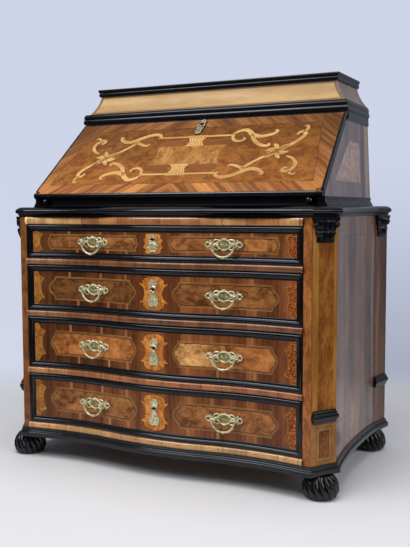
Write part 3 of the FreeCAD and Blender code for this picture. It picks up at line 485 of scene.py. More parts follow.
def polish_wood(name, paint, smooth=0.22, dull=0.42, coat=0.05):
    """Polished wood. paint(shade, here) gives the colour and the height of the grain."""
    material, shade, shader = new_finish(name)
    here = shade.here()
    colour, height = paint(shade, here)
    skin = use(shade, "old polish", Vector=here, Smooth=smooth, Dull=dull)
    shade.feed(shader.inputs["Base Color"], colour)
    shade.feed(shader.inputs["Roughness"], skin["Roughness"])
    shader.inputs["Specular IOR Level"].default_value = 0.18
    shader.inputs["Coat Weight"].default_value = coat
    shader.inputs["Coat Roughness"].default_value = 0.08
    total = shade.math("MULTIPLY_ADD", skin["Height"], 1.4, height)
    shade.feed(shader.inputs["Normal"], shade.bump(total, 0.35, 0.0004))
    return material


def grain_up(shade, here):
    """Turns the place so that the grain runs up the desk."""
    x, y, z = shade.split(here)
    return shade.place(z, x, y)


def grain(shade, vector, light, dark):
    """Colour and height of straight grain."""
    out = use(shade, "straight grain", Vector=vector, Light=light, Dark=dark)
    return out["Color"], out["Height"]


def burl(shade, vector, light, dark):
    """Colour and height of burl."""
    out = use(shade, "burl figure", Vector=vector, Light=light, Dark=dark)
    return out["Color"], out["Height"]


def leaves(shade, place, pitch, shift):
    """Number of the veneer leaf at a place, and its random tone."""
    number = shade.math("FLOOR", shade.times(shade.math("ADD", place, shift), 1.0 / pitch))
    return number, shade.random(number)


def toned(shade, colour, tone, low, high):
    """Colour times a share between low and high."""
    share = shade.math("MULTIPLY_ADD", tone, high - low, low)
    return shade.mix(1.0, colour, shade.place(share, share, share), "MULTIPLY")


def least(shade, *values):
    """Smallest of several values."""
    result = values[0]
    for value in values[1:]:
        result = shade.math("MINIMUM", result, value)
    return result


def joint(shade, edge):
    """Joint of two veneers: 0 outside and 1 inside, where edge is the distance inside it."""
    return shade.ramp(edge, -JOINT_SOFT, JOINT_SOFT)


def line_along(shade, colour, edge, half, strength, tone):
    """Colour with a thin inlaid line of a half width along a joint."""
    return shade.mix(shade.times(shade.between(edge, -half, half, LINE_SOFT), strength), colour, tone)


def up_fall(shade, y, z):
    """Distance up the fall's slope from its pivot."""
    back = shade.times(shade.less(y, PIVOT_Y - MIDDLE_Y), math.cos(FALL_SLOPE))
    return shade.math("MULTIPLY_ADD", shade.less(z, PIVOT_Z), math.sin(FALL_SLOPE), back)


# Softness of the joints and inlaid lines in the veneer, in metres
JOINT_SOFT = 0.0005
LINE_SOFT = 0.0004
BAND_SOFT = 0.001

# Front pilaster: its two pale strips, across from the stile, and its low panel's left, right, bottom and top
POST_STRIPS = ((0.003, 0.022), (0.072, 0.090))
POST_PANEL = (0.028, 0.059, 0.108, 0.176)
POST_PANEL_LINES = ((-0.0008, 0.0008), (-0.0106, -0.0096))

# Rear posts and sides: depths behind the stiles, and heights
REAR_START = 0.486
REAR_BAND = (0.497, 0.522)
SIDE_PANEL = (0.150, 0.412, 0.670)
SIDE_DARK_BAND = (0.425, 0.462)
DESK_PANEL_TIP = (0.190, 0.819)
DESK_PANEL_REAR = 0.460
DESK_PANEL_RISE = (0.8195, 0.934)
DESK_PANEL_SLOPE = 1.363
DESK_DARK_BAND = (0.474, 0.512)
DESK_PALE_STRIP = (0.526, 0.560)

# Field of the fall: lower and upper edge up the slope, half width at the pivot and its taper
FALL_FIELD = (0.039, 0.297)
FIELD_HALF = 0.428
FIELD_TAPER = -0.151

# Span of the pivot ears at each end of the fall, from the middle
EAR_SPAN = (0.4390, 0.4520)

# Width of the border above and below the hood's yellow front, and at its ends
HOOD_BORDER = 0.0075
HOOD_END_BORDER = 0.010

# Stretch of the burl in the drawer panels
PANEL_STRETCH = (0.42, 0.42, 0.6)

# Light and dark tone of each wood that the panel of properties doesn't list, in linear light
TONES = {
    "post_curl": ((0.47, 0.170, 0.028), (0.12, 0.032, 0.005)),
    "post_strip": ((0.50, 0.235, 0.045), (0.29, 0.108, 0.016)),
    "post_sill": ((0.40, 0.185, 0.050), (0.25, 0.098, 0.024)),
    "stile": ((0.33, 0.120, 0.034), (0.14, 0.042, 0.011)),
    "rear_post": ((0.21, 0.112, 0.068), (0.095, 0.048, 0.033)),
    # The chest side, desk side and hood side tones are greyed partly by a painted reflection of the pale backdrop
    "side_panel": ((0.262, 0.146, 0.092), (0.092, 0.050, 0.036)),
    "desk_border": ((0.300, 0.232, 0.225), (0.150, 0.120, 0.122)),
    "desk_panel": ((0.66, 0.455, 0.365), (0.34, 0.226, 0.180)),
    "desk_strip": ((0.62, 0.415, 0.275), (0.36, 0.235, 0.155)),
    "fall_field": ((0.300, 0.108, 0.0195), (0.138, 0.043, 0.0070)),
    "hood_side": ((0.36, 0.275, 0.225), (0.22, 0.165, 0.140)),
    "rail": ((0.195, 0.072, 0.024), (0.10, 0.034, 0.011)),
    "top_rail": ((0.40, 0.168, 0.058), (0.24, 0.082, 0.024)),
    "bottom_rail": ((0.50, 0.270, 0.105), (0.33, 0.155, 0.052)),
    "pale_leaf": ((0.66, 0.42, 0.17), (0.40, 0.21, 0.072)),
    "brown_panel": ((0.435, 0.165, 0.045), (0.145, 0.042, 0.010)),
    "yellow_panel": ((0.70, 0.385, 0.130), (0.25, 0.098, 0.027)),
    "light_burl": ((0.46, 0.215, 0.055), (0.21, 0.080, 0.018)),
    "pale_line": ((0.38, 0.195, 0.066), (0.26, 0.122, 0.037)),
    "string": ((0.040, 0.018, 0.009), (0.018, 0.008, 0.005)),
    "bar": ((0.32, 0.135, 0.048), (0.19, 0.068, 0.022)),
    "red_bar": ((0.225, 0.077, 0.019), (0.13, 0.040, 0.010)),
    "boss": ((0.36, 0.31, 0.130), (0.140, 0.122, 0.048)),
    "iron": ((0.10, 0.098, 0.095), (0.032, 0.028, 0.026)),
}
POST_LINE_TONE = (0.05, 0.02, 0.008)
SIDE_LINE_TONE = (0.035, 0.024, 0.022)
FALL_LINE_TONE = (0.06, 0.024, 0.01)
HOOD_BORDER_TONE = (0.15, 0.088, 0.045)
SEAM_TONE = (0.03, 0.012, 0.005)
AMBER_REDDEN = (1.35, 0.78, 0.62)
AMBER_STREAK_TONE = (0.44, 0.150, 0.036)
AMBER_EYE_TONE = (0.06, 0.016, 0.004)
RUBBED_TONE = (0.035, 0.02, 0.014)

# Least and greatest roughness of the polish, and weight of its clear coat
SIDE_POLISH = (0.24, 0.4, 0.5)
BARE_WOOD = (0.5, 0.75, 0.0)


def paint_post(shade, here, colours):
    """Corner posts: red cross-grained stiles, and pilasters with a pale strip each side and a small panel low
    down. along runs across the front pilaster from the stile."""
    x, y, z = shade.split(here)
    upright = grain_up(shade, here)
    wide = shade.math("ABSOLUTE", x)
    deep = shade.math("ADD", y, MIDDLE_Y)
    along = shade.math("MULTIPLY_ADD", shade.less(wide, STILE_X), 0.541, shade.times(deep, 0.841))
    body, height = grain(shade, upright, colours.pilaster_light, colours.pilaster_dark)
    curl, _ = burl(shade, shade.stretch(here, (0.8, 0.8, 0.4)), *TONES["post_curl"])
    body = shade.mix(0.7, body, curl)
    pale, _ = grain(shade, upright, *TONES["post_strip"])
    strips = [shade.between(along, *strip, JOINT_SOFT) for strip in POST_STRIPS]
    colour = shade.mix(shade.math("MAXIMUM", *strips), body, pale)
    left, right, bottom, top = POST_PANEL
    edge = least(shade, shade.less(along, left), shade.less(right, along), shade.less(z, bottom), shade.less(top, z))
    low = shade.ramp(z, BLOCK_FLOOR + 0.0015, BLOCK_FLOOR + 0.0005)
    sill, _ = grain(shade, here, *TONES["post_sill"])
    panel = shade.mix(shade.ramp(edge, -LINE_SOFT, LINE_SOFT), sill, toned(shade, body, 0.5, 0.6, 0.8))
    colour = shade.mix(low, colour, panel)
    lines = shade.math("MAXIMUM", *(shade.between(edge, *line, 0.0003) for line in POST_PANEL_LINES))
    colour = shade.mix(shade.times(low, lines), colour, POST_LINE_TONE)
    stile, _ = burl(shade, shade.stretch(here, (1.2, 1.2, 0.5)), *TONES["stile"])
    # Painted shade: the left stile is painted darker than the right one
    stile = toned(shade, stile, shade.ramp(x, -0.1, 0.1), 0.58, 1.0)
    _, tone = leaves(shade, z, 0.083, 0.03)
    at_stile = shade.ramp(wide, STILE_X + 0.0006, STILE_X - 0.0002)
    colour = shade.mix(at_stile, colour, toned(shade, stile, tone, 0.9, 1.15))
    rear = shade.ramp(deep, REAR_START - BAND_SOFT, REAR_START + BAND_SOFT)
    back, _ = grain(shade, upright, *TONES["rear_post"])
    band = shade.between(deep, *REAR_BAND, 0.0006)
    return shade.mix(rear, colour, toned(shade, back, band, 0.75, 1.35)), height


def paint_side(shade, here, colours):
    """Chest side: a browner tall panel with a dark line round it in a greyer border."""
    _, y, z = shade.split(here)
    upright = grain_up(shade, here)
    deep = shade.math("ADD", y, MIDDLE_Y)
    # Painted reflection: the grey of the side's border is partly a painted reflection of the pale backdrop
    border, height = grain(shade, upright, colours.side_light_painted_reflection, colours.side_dark_painted_reflection)
    figure = shade.noise(shade.stretch(here, (6, 9, 2.2)), 1.0, 3, 0.55, 1.2)
    panel, _ = grain(shade, upright, *TONES["side_panel"])
    panel = toned(shade, panel, shade.ramp(figure, 0.3, 0.7), 0.72, 1.3)
    front, rear, top = SIDE_PANEL
    edge = least(shade, shade.less(deep, front), shade.less(rear, deep), shade.less(top, z))
    colour = shade.mix(joint(shade, edge), border, panel)
    colour = line_along(shade, colour, edge, 0.0011, 0.75, SIDE_LINE_TONE)
    return toned(shade, colour, shade.between(deep, *SIDE_DARK_BAND, BAND_SOFT), 1.0, 0.72), height


def paint_desk_side(shade, here):
    """Desk side: a pale burl panel with a sloping front edge, a dark upright band and a pale strip behind it."""
    _, y, z = shade.split(here)
    upright = grain_up(shade, here)
    deep = shade.math("ADD", y, MIDDLE_Y)
    # Painted reflection: the grey of the desk side's tones is partly a painted reflection of the pale backdrop
    border, height = grain(shade, upright, *TONES["desk_border"])
    panel, _ = burl(shade, here, *TONES["desk_panel"])
    tip_deep, tip_high = DESK_PANEL_TIP
    floor, top = DESK_PANEL_RISE
    slope = shade.less(shade.less(deep, tip_deep), shade.times(shade.less(z, tip_high), DESK_PANEL_SLOPE))
    edge = least(shade, shade.times(slope, 0.59), shade.less(DESK_PANEL_REAR, deep), shade.less(z, floor),
                 shade.less(top, z))
    colour = shade.mix(joint(shade, edge), border, panel)
    colour = toned(shade, colour, shade.between(deep, *DESK_DARK_BAND, BAND_SOFT), 1.0, 0.5)
    warm, _ = grain(shade, upright, *TONES["desk_strip"])
    return shade.mix(shade.between(deep, *DESK_PALE_STRIP, BAND_SOFT), colour, warm), height


def paint_fall(shade, here, colours):
    """Fall: a burl field in a dark line, and a mitred border of slanting leaves that mirror at the middle. The
    wood darkens towards the top."""
    x, y, z = shade.split(here)
    wide = shade.math("ABSOLUTE", x)
    up = up_fall(shade, y, z)
    half = shade.math("MULTIPLY_ADD", up, FIELD_TAPER, FIELD_HALF)
    floor, top = FALL_FIELD
    over_floor = shade.less(up, floor)
    to_side = shade.less(half, wide)
    edge = least(shade, over_floor, shade.less(top, up), to_side)
    along = shade.less(up, wide)
    across = shade.math("ADD", up, wide)
    number, tone = leaves(shade, across, 0.056, 0.011)
    slant = shade.place(shade.times(along, 0.7), shade.times(across, 0.7), shade.times(number, 0.31))
    band, height = grain(shade, slant, colours.band_light, colours.band_dark)
    field, _ = burl(shade, shade.stretch(here, (0.6, 0.8, 0.8)), *TONES["fall_field"])
    colour = shade.mix(joint(shade, edge), toned(shade, band, tone, 0.78, 1.22), field)
    colour = line_along(shade, colour, edge, 0.001, 0.7, FALL_LINE_TONE)
    flank = shade.times(shade.ramp(to_side, 0.0, -JOINT_SOFT), shade.ramp(over_floor, -0.03, 0.03))
    colour = toned(shade, colour, shade.ramp(up, 0.05, 0.31), 1.12, 0.68)
    return toned(shade, colour, flank, 1.0, 0.80), height


def paint_base(shade, here, colours):
    """Black base of the desk; its two pivot ears carry on the fall's veneer."""
    x, y, z = shade.split(here)
    veneer, height = grain(shade, here, colours.band_light, colours.band_dark)
    ear = shade.times(shade.between(shade.math("ABSOLUTE", x), *EAR_SPAN, 0.0003), joint(shade, up_fall(shade, y, z)))
    ear = shade.times(ear, shade.ramp(z, PIVOT_Z - 0.002, PIVOT_Z))
    return shade.mix(ear, colours.black, veneer), height


def paint_hood(shade, here, colours):
    """Hood: a level-grained yellow front between two greyer borders, and sides greyed partly by painted reflection."""
    x, _, z = shade.split(here)
    share = shade.times(shade.less(z, WAIST_TOP), 1 / (HOOD_TOP - WAIST_TOP))
    drawn = shade.math("MULTIPLY_ADD", shade.times(share, shade.less(1.0, share)), HOOD_HOLLOW, share)
    half = shade.math("MULTIPLY_ADD", drawn, -HOOD_DRAW, HOOD_HALF)
    to_side = shade.less(half, shade.math("ABSOLUTE", x))
    front, height = grain(shade, here, colours.cove_light, colours.cove_dark)
    # Painted reflection: the grey of the hood's sides is partly a painted reflection of the pale backdrop
    painted_reflection_grey, _ = grain(shade, grain_up(shade, here), *TONES["hood_side"])
    edge = least(shade, shade.less(z, WAIST_TOP + HOOD_BORDER), shade.less(HOOD_TOP - HOOD_BORDER, z),
                 shade.less(to_side, HOOD_END_BORDER))
    colour = shade.mix(joint(shade, edge), HOOD_BORDER_TONE, front)
    return shade.mix(shade.ramp(to_side, 0.0012, 0.0006), colour, painted_reflection_grey), height


def make_finishes(colours):
    """Every material of the desk, by name."""
    make_grain()
    make_burl()
    make_polish()

    def ground(shade, here):
        """Drawer ground: upright leaves, each of its own tone, darker to the left above the lowest drawer."""
        x, y, z = shade.split(here)
        number, tone = leaves(shade, x, 0.047, 0.013)
        vector = shade.place(shade.math("MULTIPLY_ADD", number, 0.37, z), x, y)
        colour, height = grain(shade, vector, colours.walnut_light, colours.walnut_dark)
        colour = toned(shade, colour, shade.between(x, 0.30, 0.38, 0.02), 1.0, 0.7)
        colour = toned(shade, colour, shade.ramp(x, -0.10, -0.28), 1.0, 0.62)
        upper_left = shade.times(shade.ramp(x, 0.0, -0.2), shade.ramp(z, 0.255, 0.275))
        colour = toned(shade, colour, upper_left, 1.0, 0.6)
        return toned(shade, colour, tone, 0.84, 1.14), height

    def rail(wood, low, high, pale_end=-1.0, pale_share=0.0, pale_left=1.0):
        """Rail: cross-grained leaves with dark seams, some of them pale, and paler left of pale_end."""
        def paint(shade, here):
            x, y, z = shade.split(here)
            uneven = shade.noise(shade.place(x, 0.3, 0.7), 9.0, 1)
            run = shade.times(shade.math("MULTIPLY_ADD", uneven, 0.09, x), 1 / 0.066)
            number = shade.math("FLOOR", run)
            rung = shade.math("FLOOR", shade.times(z, 9.0))
            tone = shade.random(shade.math("MULTIPLY_ADD", rung, 37.0, number))
            vector = shade.place(shade.math("MULTIPLY_ADD", number, 0.23, z), x, y)
            colour, height = grain(shade, vector, *TONES[wood])
            pale, _ = grain(shade, vector, *TONES["pale_leaf"])
            ends = shade.times(shade.ramp(x, pale_end + 0.001, pale_end), pale_left)
            share = shade.math("MAXIMUM", ends, shade.times(shade.ramp(tone, 0.7, 0.72), pale_share))
            colour = toned(shade, shade.mix(share, colour, pale), tone, low, high)
            lowest = shade.between(z, DRAWERS[4][1], DRAWERS[3][0], BAND_SOFT)
            colour = toned(shade, colour, lowest, 1.0, 1.7)
            seam = shade.times(shade.ramp(shade.math("FRACT", run), 0.036, 0.022), 0.7)
            return shade.mix(seam, colour, SEAM_TONE), height
        return paint

    def light_burl(shade, here):
        return burl(shade, shade.stretch(here, (1.0, 0.5, 0.5)), *TONES["light_burl"])

    def panel_burl(shade, here):
        """Drawer panels: the first drawer lighter to the right, the second darker to the left."""
        x, _, z = shade.split(here)
        colour, height = burl(shade, shade.stretch(here, PANEL_STRETCH), colours.burl_light, colours.burl_dark)
        right = shade.ramp(x, -0.3, 0.3)
        first, second = (shade.between(z, *DRAWERS[number], BAND_SOFT) for number in (1, 2))
        colour = toned(shade, colour, shade.times(first, right), 1.1, 1.45)
        return toned(shade, colour, shade.times(second, shade.less(1.0, right)), 1.0, 0.5), height

    def pale_panel(shade, here):
        """Panels of the third drawer: brown burl with a yellow patch right of the middle."""
        place = shade.stretch(here, PANEL_STRETCH)
        patch = shade.between(shade.split(here)[0], 0.03, 0.16, 0.03)
        brown, height = burl(shade, place, *TONES["brown_panel"])
        yellow, _ = burl(shade, place, *TONES["yellow_panel"])
        return shade.mix(patch, brown, yellow), height

    def speckled(shade, here):
        """Amber burl with dark eyes; to the right it is darker and redder, with bright streaks."""
        colour, height = burl(shade, here, colours.amber_light, colours.amber_dark)
        x = shade.split(here)[0]
        right = shade.ramp(x, -0.1, 0.35)
        left = shade.ramp(x, -0.12, -0.30)
        colour = toned(shade, toned(shade, colour, left, 1.15, 0.60), right, 1.0, 0.23)
        colour = shade.mix(right, colour, AMBER_REDDEN, "MULTIPLY")
        streak = shade.ramp(shade.noise(shade.stretch(here, (190, 60, 330)), 1.0, 2, 0.6), 0.50, 0.62)
        colour = shade.mix(shade.times(streak, right), colour, AMBER_STREAK_TONE)
        eyes = shade.add("ShaderNodeTexVoronoi", {"Vector": here, "Scale": 120.0}).outputs["Distance"]
        return shade.mix(shade.times(shade.ramp(eyes, 0.34, 0.2), 0.7), colour, AMBER_EYE_TONE), height

    def drawer_boards(shade, here):
        """Drawer boxes: grain along each board, front to back on the two sides."""
        x, y, z = shade.split(here)
        side = shade.ramp(shade.math("ABSOLUTE", x), 0.4195, 0.4199)
        cross, height = grain(shade, here, colours.plain_light, colours.plain_dark)
        deep, _ = grain(shade, shade.place(y, x, z), colours.plain_light, colours.plain_dark)
        return shade.mix(side, cross, deep), height

    def upright(light, dark):
        return lambda shade, here: grain(shade, grain_up(shade, here), light, dark)

    def level(light, dark):
        return lambda shade, here: grain(shade, here, light, dark)

    def own(paint):
        return lambda shade, here: paint(shade, here, colours)

    woods = {
        "ground": ("walnut_ground", ground),
        "rail": ("walnut_rail", rail("rail", 0.85, 1.15, -0.3, 0.0, 0.12), 0.18, 0.32, 0.55),
        "top_rail": ("walnut_top_rail", rail("top_rail", 0.8, 1.3, -0.33, 0.5), 0.14, 0.28, 1.0),
        "bottom_rail": ("ash_bottom_rail", rail("bottom_rail", 0.9, 1.1), 0.2, 0.36, 1.0),
        "burl": ("walnut_burl", panel_burl),
        "burl_pale": ("pale_burl", pale_panel),
        "burl_light": ("light_burl", light_burl),
        "amber": ("amber_burl", speckled),
        "pale_line": ("pale_line", level(*TONES["pale_line"])),
        "maple": ("maple_strap", level(colours.maple_light, colours.maple_dark)),
        "string": ("dark_string", level(*TONES["string"])),
        "bar": ("light_bar", upright(*TONES["bar"])),
        "red_bar": ("red_bar", level(*TONES["red_bar"])),
        "post": ("pilaster_walnut", own(paint_post)),
        "inside": ("inside_walnut", upright(colours.pilaster_light, colours.pilaster_dark)),
        # Sides: walnut greyed partly by a painted reflection of the pale backdrop
        "side": ("faded_walnut", own(paint_side), *SIDE_POLISH),
        "base": ("black_base", own(paint_base), 0.12, 0.3, 0.0),
        "desk_side": ("faded_desk_side", paint_desk_side, *SIDE_POLISH),
        "fall": ("fall_veneer", own(paint_fall)),
        "cove": ("hood_veneer", own(paint_hood), 0.22, 0.42, 0.0),
        "plain": ("plain_boards", level(colours.plain_light, colours.plain_dark), *BARE_WOOD),
        "drawer_boards": ("drawer_boards", drawer_boards, *BARE_WOOD),
    }
    finishes = {name: polish_wood(*wood) for name, wood in woods.items()}
    finishes["black"] = make_black(colours)
    finishes["brass"] = make_brass("old_brass", colours.brass, colours.tarnish)
    finishes["boss"] = make_brass("dull_brass", *TONES["boss"])
    finishes["iron"] = make_iron()
    return finishes


def make_black(colours):
    """Black polish with brown rubbed spots and uneven gloss."""
    material, shade, shader = new_finish("black_polish")
    here = shade.here()
    skin = use(shade, "old polish", Vector=here, Smooth=0.07, Dull=0.2)
    worn = shade.mix(shade.times(skin["Wear"], 0.5), colours.black, RUBBED_TONE)
    shade.feed(shader.inputs["Base Color"], worn)
    shade.feed(shader.inputs["Roughness"], skin["Roughness"])
    shader.inputs["Specular IOR Level"].default_value = 0.4
    shade.feed(shader.inputs["Normal"], shade.bump(skin["Height"], 0.12, 0.0004))
    return material


def make_brass(name, bright, tarnish):
    """Old brass: pale worn metal with darker greenish patches."""
    material, shade, shader = new_finish(name)
    here = shade.here()
    patch = shade.noise(here, 160.0, 4, 0.6)
    skin = use(shade, "old polish", Vector=here, Smooth=0.26, Dull=0.5)
    shade.feed(shader.inputs["Base Color"], shade.mix(shade.ramp(patch, 0.38, 0.66), bright, tarnish))
    shade.feed(shader.inputs["Roughness"], skin["Roughness"])
    shader.inputs["Metallic"].default_value = 0.6
    shade.feed(shader.inputs["Normal"], shade.bump(patch, 0.3, 0.0006))
    return material


def make_iron():
    """Dark hand-filed iron."""
    material, shade, shader = new_finish("dark_iron")
    here = shade.here()
    patch = shade.noise(here, 120.0, 4, 0.6)
    skin = use(shade, "old polish", Vector=here, Smooth=0.38, Dull=0.6)
    shade.feed(shader.inputs["Base Color"], shade.mix(patch, *TONES["iron"]))
    shade.feed(shader.inputs["Roughness"], skin["Roughness"])
    shader.inputs["Metallic"].default_value = 0.9
    shade.feed(shader.inputs["Normal"], shade.bump(patch, 0.4, 0.0008))
    return material


FINISHES = {}
NODE_FINISH = {"chest_side": "side", "corner_posts": "post", "desk_side": "desk_side", "desk_base": "base",
               "chest_top": "black", "plinth_moulding": "black", "pilaster": "black", "foot": "black",
               "waist": "black", "hood_top": "black", "hood_cove": "cove", "top_rail": "top_rail",
               "bottom_rail": "bottom_rail", "drawer_rails": "rail", "fall_panel": "fall",
               "fall_edging": "black", "fall_lock": "iron", "fall_bolt": "iron", "fall_pivot": "iron",
               "loper": "black", "chest_": "plain", "drawer_runners": "plain", "desk_": "plain",
               "writing_bed": "inside", "pigeonhole": "inside", "nest_drawer": "burl"}
DRAWER_FINISH = {"front": "ground", "frame": "black", "box": "drawer_boards", "mounts": "brass", "bail_left": "brass",
                 "bail_right": "brass"}


class DESK_OT_finishes(bpy.types.Operator):
    """Make the materials and put them on the frame's own nodes"""
    bl_idname = "desk.finishes"
    bl_label = "Finishes"

    def execute(self, context):
        FINISHES.update(make_finishes(context.scene.desk_colours))
        for name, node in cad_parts.items():
            if name[:7] == "drawer_" and name[7].isdigit():
                finish = DRAWER_FINISH[name[9:]]
            else:
                finish = next(value for key, value in NODE_FINISH.items() if name.startswith(key))
            if not node.material_slots:
                node.data.materials.append(None)
            for slot in node.material_slots:
                slot.material = FINISHES[finish]
        return {"FINISHED"}


def chest_lines(out):
    """Plan lines of the chest moved outwards by each value of out: the front, then the right-hand stile, cant,
    hollow side and rear facet. Each is an array of points [value, place, xy]."""
    out = column(out)
    x = np.linspace(-OPENING_HALF, OPENING_HALF, FRONT_POINTS)[None] + 0 * out
    front = np.stack([x, front_y(x, out)], -1)
    corners = [front[:, -1]]
    for place, move in CHEST_CORNERS:
        corners.append(np.array(place) + out * np.array(move) - (0, MIDDLE_Y))
    lines = [front]
    share = np.linspace(0, 1, 25)[None, :, None]
    for number, (start, end) in enumerate(zip(corners[:-1], corners[1:])):
        line = start[:, None] * (1 - share) + end[:, None] * share
        if number == 2:
            chord = np.subtract(CHEST_CORNERS[1][0], CHEST_CORNERS[2][0])
            inward = np.array([chord[1], -chord[0]]) / np.linalg.norm(chord)
            line = line + inward * (4 * SIDE_HOLLOW * share * (1 - share))
        lines.append(line)
    return lines


def add_moulding(sheets, levels, max_out):
    """Moulding round the chest from (overhang, height) levels, its front, both sides and back."""
    z = np.asarray(levels)[:, 1]
    for number, line in enumerate(chest_lines(np.minimum(np.asarray(levels)[:, 0], max_out))):
        points = np.concatenate([line, np.broadcast_to(z[:, None, None], line.shape[:2] + (1,))], -1)
        outward = (0, -1, 0) if number < 2 else (1, -0.2, 0)
        sheets.grid(points, outward)
        if number:
            sheets.grid(points * (-1, 1, 1), np.multiply(outward, (-1, 1, 1)))
    end = points[:, -1:]
    sheets.grid(np.concatenate([end * (-1, 1, 1), end], 1), (0, 1, 0))


def add_slab_cap(sheets, out, z, up):
    """Level face that fills the chest's outline: lines from its left edge to its right edge."""
    lines = chest_lines([out])
    half = np.concatenate([lines[0][0, FRONT_POINTS // 2:]] + [line[0, 1:] for line in lines[1:]])
    half = np.concatenate([half, [[0, CASE_DEPTH - MIDDLE_Y]]])
    right = np.concatenate([half, np.full((len(half), 1), z)], 1)
    middle = right * (0, 1, 1)
    sheets.grid(np.stack([right * (-1, 1, 1), middle, right], 1), (0, 0, up))


def add_ring(sheets, out, z, up):
    """Level ring under or over the plinth, from the chest's outline to a line 45 mm inside it."""
    for outer, inner in zip(chest_lines([out]), chest_lines([PLINTH_INSIDE])):
        points = np.concatenate([outer, inner])
        ring = np.concatenate([points, np.full(points.shape[:2] + (1,), z)], -1)
        for side in BOTH_SIDES:
            sheets.grid(ring * side, (0, 0, up))
        if up < 0:
            wall = np.stack([ring[1], ring[1] + (0, 0, PLINTH_HEIGHT)])
            for side in BOTH_SIDES:
                sheets.grid(wall * side, (0, 1, 0) if len(inner[0]) > 50 else (-side[0], 0, 0))


# Moulding lines of the plinth and the chest top: overhang, height over its underside, bulge
PLINTH_LINE = ((0.0086, 0, 0), (0.0118, 0.0032, 0.2), (0.012, 0.0123, 0.06), (0.0094, 0.0151, 0.12),
               (0.0094, 0.0163, 0), (0.0050, 0.0203, -0.2), (0.0050, 0.0216, 0), (0.0036, 0.0240, 0.25),
               (0.0034, PLINTH_HEIGHT, 0))
PLINTH_OUT = 0.0119
CHEST_TOP_LINE = ((0.0026, 0, 0), (0.0026, 0.0022, 0), (0.0048, 0.0042, 0.25), (0.0048, 0.0054, 0),
                  (0.0096, 0.0094, -0.2), (0.0112, 0.0094, 0), (0.0112, 0.0108, 0), (0.0129, 0.0152, 0.12),
                  (0.0112, 0.0196, 0.1), (0.0058, 0.0238, 0.07), (-0.0065, 0.0275, 0.06))
CHEST_TOP_OUT = 0.0129


class DESK_OT_chest_mouldings(bpy.types.Operator):
    """Plinth and moulded chest top, run round the serpentine outline"""
    bl_idname = "desk.chest_mouldings"
    bl_label = "Plinth and chest top"

    def execute(self, context):
        plinth = Sheets()
        levels = profile(*PLINTH_LINE) + (0, FOOT_HEIGHT)
        add_moulding(plinth, levels, PLINTH_OUT)
        for level, up in ((0, -1), (-1, 1)):
            add_ring(plinth, *levels[level], up)
        plinth.black_piece("plinth", "plinth_moulding")
        top = Sheets()
        levels = profile(*CHEST_TOP_LINE) + (0, CHEST_TOP_FLOOR)
        add_moulding(top, levels, CHEST_TOP_OUT)
        for level, up in ((0, -1), (-1, 1)):
            add_slab_cap(top, *levels[level], up)
        top.black_piece("chest_top_board", "chest_top")
        return {"FINISHED"}


class DESK_OT_rails(bpy.types.Operator):
    """Half-round rails between the drawers: a half circle carried along the serpentine front"""
    bl_idname = "desk.rails"
    bl_label = "Rails"

    def execute(self, context):
        back = RAIL_BACK - MIDDLE_Y
        x = np.linspace(-OPENING_HALF, OPENING_HALF, FRONT_POINTS)[None]
        for name, spans in RAILS.items():
            rail = Sheets()
            for low, high in spans:
                turn = column(np.linspace(0, np.pi, 17))
                z = (low + high) / 2 - (high - low) / 2 * np.cos(turn)
                wide, tall = np.broadcast_arrays(x, z)
                front = np.stack([wide, front_y(wide, RAIL_PROUD * np.sin(turn) ** 0.8), tall], -1)
                rail.grid(front, (0, -1, 0))
                for edge, up in ((front[0], -1), (front[-1], 1)):
                    far = edge * (1, 0, 1) + (0, back, 0)
                    rail.grid(np.stack([edge, far]), (0, 0, up))
                rear = front[[0, -1]] * (1, 0, 1) + (0, back, 0)
                rail.grid(rear, (0, 1, 0))
            finish = {"drawer_rails": "rail"}.get(name, name)
            rail.piece("half_round_" + name, FINISHES[finish], "desk", "walnut_veneer", [name])
        nails = Sheets()
        low, high = RAILS["bottom_rail"][0]
        for x in RAIL_NAILS:
            place = on_front(x, (low + high) / 2 + 0.001, RAIL_PROUD)
            add_ball(nails, place, (0.0021, 0.0006, 0.0017))
        nails.piece("rail_nails", FINISHES["iron"], "desk", "iron")
        return {"FINISHED"}


# Moulding line of the drawer frames in millimetres: inwards from the edge, height, bulge
FRAME_LINE = ((0, 0, 0), (0, 4.0, 0), (6.4, 7.7, -0.2), (7.0, 6.3, 0), (9.4, 6.1, -0.3), (9.8, 5.2, 0),
              (16.2, 1.9, 0.14), (16.4, 1.4, 0), (19.0, 0.1, -0.3))


class DESK_OT_drawer_frames(bpy.types.Operator):
    """Black moulded frames: a moulding line carried round each drawer front, mitred at the corners"""
    bl_idname = "desk.drawer_frames"
    bl_label = "Drawer frames"

    def execute(self, context):
        step, rise = (column(row) for row in (profile(*FRAME_LINE) / 1000).T)
        across = np.linspace(-1, 1, 97)[None]
        for number, (low, high) in DRAWERS.items():
            moulding = Sheets()
            for edge, inward in ((low, 1), (high, -1)):
                moulding.grid(on_panel((DRAWER_HALF - step) * across, edge + inward * step, rise), (0, -1, 0))
            middle = (low + high) / 2
            for side in (-1, 1):
                z = middle + ((high - low) / 2 - step) * np.array([[-1.0, 0, 1]])
                moulding.grid(on_panel(side * (DRAWER_HALF - step), z, rise), (0, -1, 0))
            moulding.piece("drawer_%d_moulding" % number, FINISHES["black"], "drawer_%d" % number,
                           "blackened_wood", ["drawer_%d_frame" % number])
        return {"FINISHED"}


